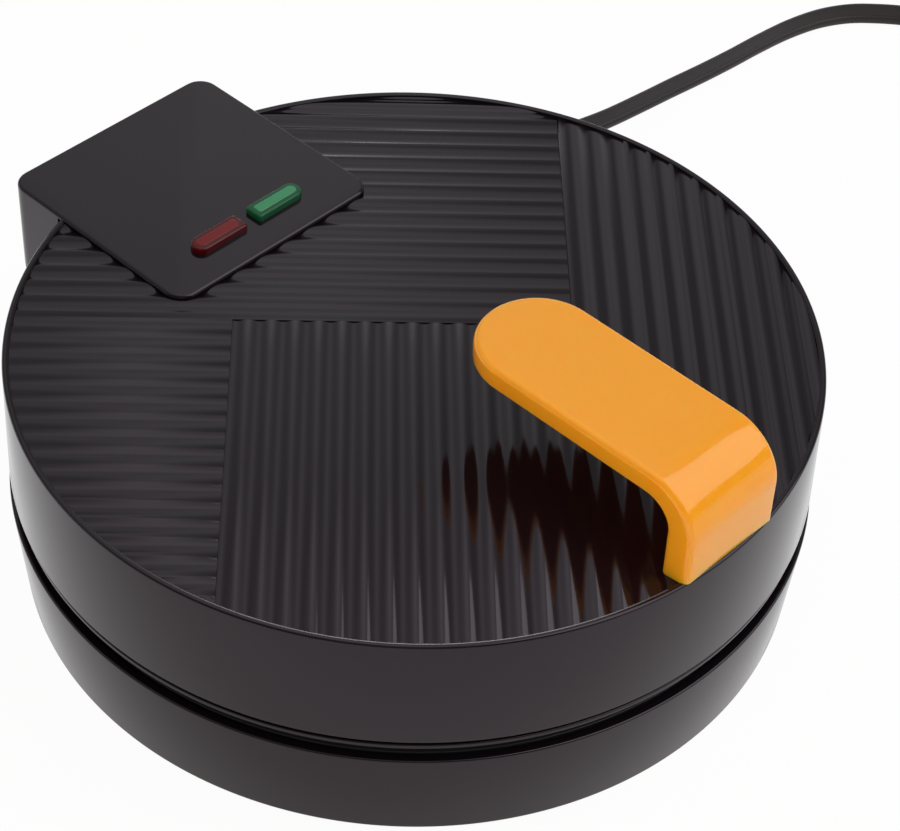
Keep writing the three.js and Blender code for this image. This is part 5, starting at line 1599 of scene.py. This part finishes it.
def stage_camera():
    """The camera of the photograph, found from the object's edges in it."""
    place = Vector((-354.6, -330.4, 507.3)) * MM + body_axis
    right = Vector((0.6937, -0.7192, 0.0385)).normalized()
    up = Vector((0.4779, 0.4997, 0.7225))
    back = right.cross(up).normalized()
    up = back.cross(right).normalized()
    camera = bpy.data.cameras.new("photo_camera")
    camera.lens = 104.34
    camera.sensor_width = 36
    camera.clip_start = 0.01
    thing = placed("photo_camera", camera)
    turn = Matrix((right, up, back)).transposed().to_4x4()
    thing.matrix_world = Matrix.Translation(place) @ turn
    bpy.context.scene.camera = thing


def area_light(name, place, size, power, tint=(1.0, 1.0, 1.0), mirrored=True):
    """A square soft light of a tint that faces the object. One that isn't mirrored leaves no highlight."""
    light = bpy.data.lights.new(name, "AREA")
    light.color = tint
    light.size = size
    light.energy = power
    thing = placed(name, light)
    thing.location = place
    thing.rotation_euler = (-Vector(place)).to_track_quat("-Z", "Y").to_euler()
    thing.visible_glossy = mirrored


def studio_world():
    """A white room for the camera, and a graded soft light on the object, which its glossy black mirrors."""
    world = bpy.data.worlds.new("studio")
    bpy.context.scene.world = world
    world.use_nodes = True
    tree = world.node_tree
    tree.nodes.clear()
    rays = add_node(tree, "ShaderNodeLightPath").outputs
    way = add_node(tree, "ShaderNodeTexCoord").outputs["Generated"]
    up = add_node(tree, "ShaderNodeSeparateXYZ", {}, {"Vector": way}).outputs["Z"]
    dot = {"operation": "DOT_PRODUCT"}
    left = add_node(tree, "ShaderNodeVectorMath", {**dot, 1: LEFT_OF_CAMERA}, {0: way}).outputs["Value"]
    aside = add_node(tree, "ShaderNodeMath", {"operation": "ABSOLUTE"}, {0: left})
    ahead = add_node(tree, "ShaderNodeVectorMath", {**dot, 1: AWAY_FROM_CAMERA}, {0: way}).outputs["Value"]
    # Each span: what it follows, from and to where, and the level at its start and at its end
    spans = {}
    for name, source, low, high, start, end in (
        ("low", up, 0.03, 0.08, 4.0, 0.0),
        ("horizon", up, 0.1, 0.33, 0.6, 0.5),
        ("middle", up, 0.33, 0.62, 0.5, 0.76),
        ("overhead", up, 0.74, 0.92, 0.0, 0.52),
        ("dimmed", aside, 0.04, 0.34, 1.0, 0.5),
        ("front", ahead, -0.4, 0.1, 0.3, 1.0),
    ):
        limits = {"From Min": low, "From Max": high, "To Min": start, "To Max": end}
        spans[name] = add_node(tree, "ShaderNodeMapRange", limits, {"Value": source})
    level = spans["horizon"]
    for operation, name in (("MAXIMUM", "middle"), ("ADD", "overhead"), ("MAXIMUM", "low")):
        level = add_node(tree, "ShaderNodeMath", {"operation": operation}, {0: level, 1: spans[name]})
    # The left side is a little brighter than the right one
    sides = {"operation": "MULTIPLY_ADD", 1: 0.15}
    share = add_node(tree, "ShaderNodeMath", sides, {0: left, 2: spans["dimmed"]})
    lit = add_node(tree, "ShaderNodeMath", {"operation": "MULTIPLY"}, {0: level, 1: share})
    strength = add_node(tree, "ShaderNodeMath", {"operation": "MULTIPLY"}, {0: lit, 1: spans["front"]})
    white = {"Color": (1, 1, 1, 1)}
    room = add_node(tree, "ShaderNodeBackground", white, {"Strength": strength})
    seen = add_node(tree, "ShaderNodeBackground", {**white, "Strength": 1.0})
    shown = add_node(tree, "ShaderNodeMixShader", {}, {0: rays["Is Camera Ray"], 1: room, 2: seen})
    add_node(tree, "ShaderNodeOutputWorld", {}, {"Surface": shown})


def floor_material():
    """Seamless white paper: it reads white to the camera and keeps the object's shadow."""
    finish, tree = new_material("seamless_white_paper")
    tint = opaque(bpy.context.scene.cupcake_colours.floor)
    dull = {"Base Color": tint, "Roughness": 0.9, "Specular IOR Level": 0.1}
    paper = add_node(tree, "ShaderNodeBsdfPrincipled", dull)
    glow = add_node(tree, "ShaderNodeEmission", {"Color": (1, 1, 1, 1), "Strength": 1.0})
    rays = add_node(tree, "ShaderNodeLightPath").outputs
    place = add_node(tree, "ShaderNodeTexCoord").outputs["Object"]
    dot = {"operation": "DOT_PRODUCT", 1: AWAY_FROM_CAMERA}
    away = add_node(tree, "ShaderNodeVectorMath", dot, {0: place}).outputs["Value"]
    # In front of the object, glossy pieces mirror the unlit paper. Beside and behind it, they mirror white.
    limits = {"From Min": -0.125, "From Max": -0.01, "To Min": 0.0, "To Max": 1.0}
    beside = add_node(tree, "ShaderNodeMapRange", limits, {"Value": away})
    glossy = rays["Is Glossy Ray"]
    mirrored = add_node(tree, "ShaderNodeMath", {"operation": "MULTIPLY"}, {0: beside, 1: glossy})
    direct = add_node(tree, "ShaderNodeMath", {"operation": "MULTIPLY", 1: 0.96}, {0: rays["Is Camera Ray"]})
    share = add_node(tree, "ShaderNodeMath", {"operation": "MAXIMUM"}, {0: direct, 1: mirrored})
    mixed = add_node(tree, "ShaderNodeMixShader", {}, {0: share, 1: paper, 2: glow})
    add_node(tree, "ShaderNodeOutputMaterial", {}, {"Surface": mixed})
    return finish


class BuildStage(bpy.types.Operator):
    """Sets the floor, the soft lights and the camera."""

    bl_idname = "cupcake_maker.stage"
    bl_label = "Stage"

    def execute(self, context):
        context.scene.view_settings.view_transform = "Standard"
        levels = context.scene.cupcake_stage
        reach = 6.0
        corners = [(-reach, -reach, 0), (reach, -reach, 0), (reach, reach, 0), (-reach, reach, 0)]
        floor = make_mesh("floor", (corners, [(0, 1, 2, 3)]))
        floor.data.materials.append(floor_material())
        front_place, left_place = (0.9, -1.2, 1.7), (-1.5, -0.5, 0.8)
        warm = (1.0, 0.86, 0.74)
        area_light("soft_front", front_place, levels.front_size, levels.front_power)
        area_light("soft_left", left_place, levels.left_size, levels.left_power, warm, mirrored=False)
        studio_world()
        stage_camera()
        return {"FINISHED"}


class CupcakePanel(bpy.types.Panel):
    """Lists the builders of the cupcake maker."""

    bl_idname = "VIEW3D_PT_cupcake_maker"
    bl_label = "Cupcake maker"
    bl_space_type = "VIEW_3D"
    bl_region_type = "UI"
    bl_category = "Cupcake maker"

    def draw(self, context):
        for builder in BUILDERS:
            self.layout.operator(builder.bl_idname)


GROUPS = {
    "cupcake_body": BodySizes,
    "cupcake_bead": BeadSizes,
    "cupcake_ribs": RibSizes,
    "cupcake_hinge": HingeSizes,
    "cupcake_cover": CoverSizes,
    "cupcake_lens": LensSizes,
    "cupcake_handle": HandleSizes,
    "cupcake_base": BaseSizes,
    "cupcake_plates": PlateSizes,
    "cupcake_screws": ScrewSizes,
    "cupcake_lead": LeadSizes,
    "cupcake_colours": Colours,
    "cupcake_stage": StageLevels,
}
BUILDERS = (DressFrame, BuildLid, BuildCover, BuildHandle, BuildBase, BuildPlates, BuildLead, BuildStage)


def register():
    for group in (*GROUPS.values(), *BUILDERS, CupcakePanel):
        bpy.utils.register_class(group)
    for name, group in GROUPS.items():
        setattr(bpy.types.Scene, name, bpy.props.PointerProperty(type=group))


def unregister():
    for name in GROUPS:
        delattr(bpy.types.Scene, name)
    for group in reversed((*GROUPS.values(), *BUILDERS, CupcakePanel)):
        bpy.utils.unregister_class(group)


def main():
    register()
    for builder in BUILDERS:
        family, name = builder.bl_idname.split(".")
        getattr(getattr(bpy.ops, family), name)()


if __name__ == "__main__":
    main()
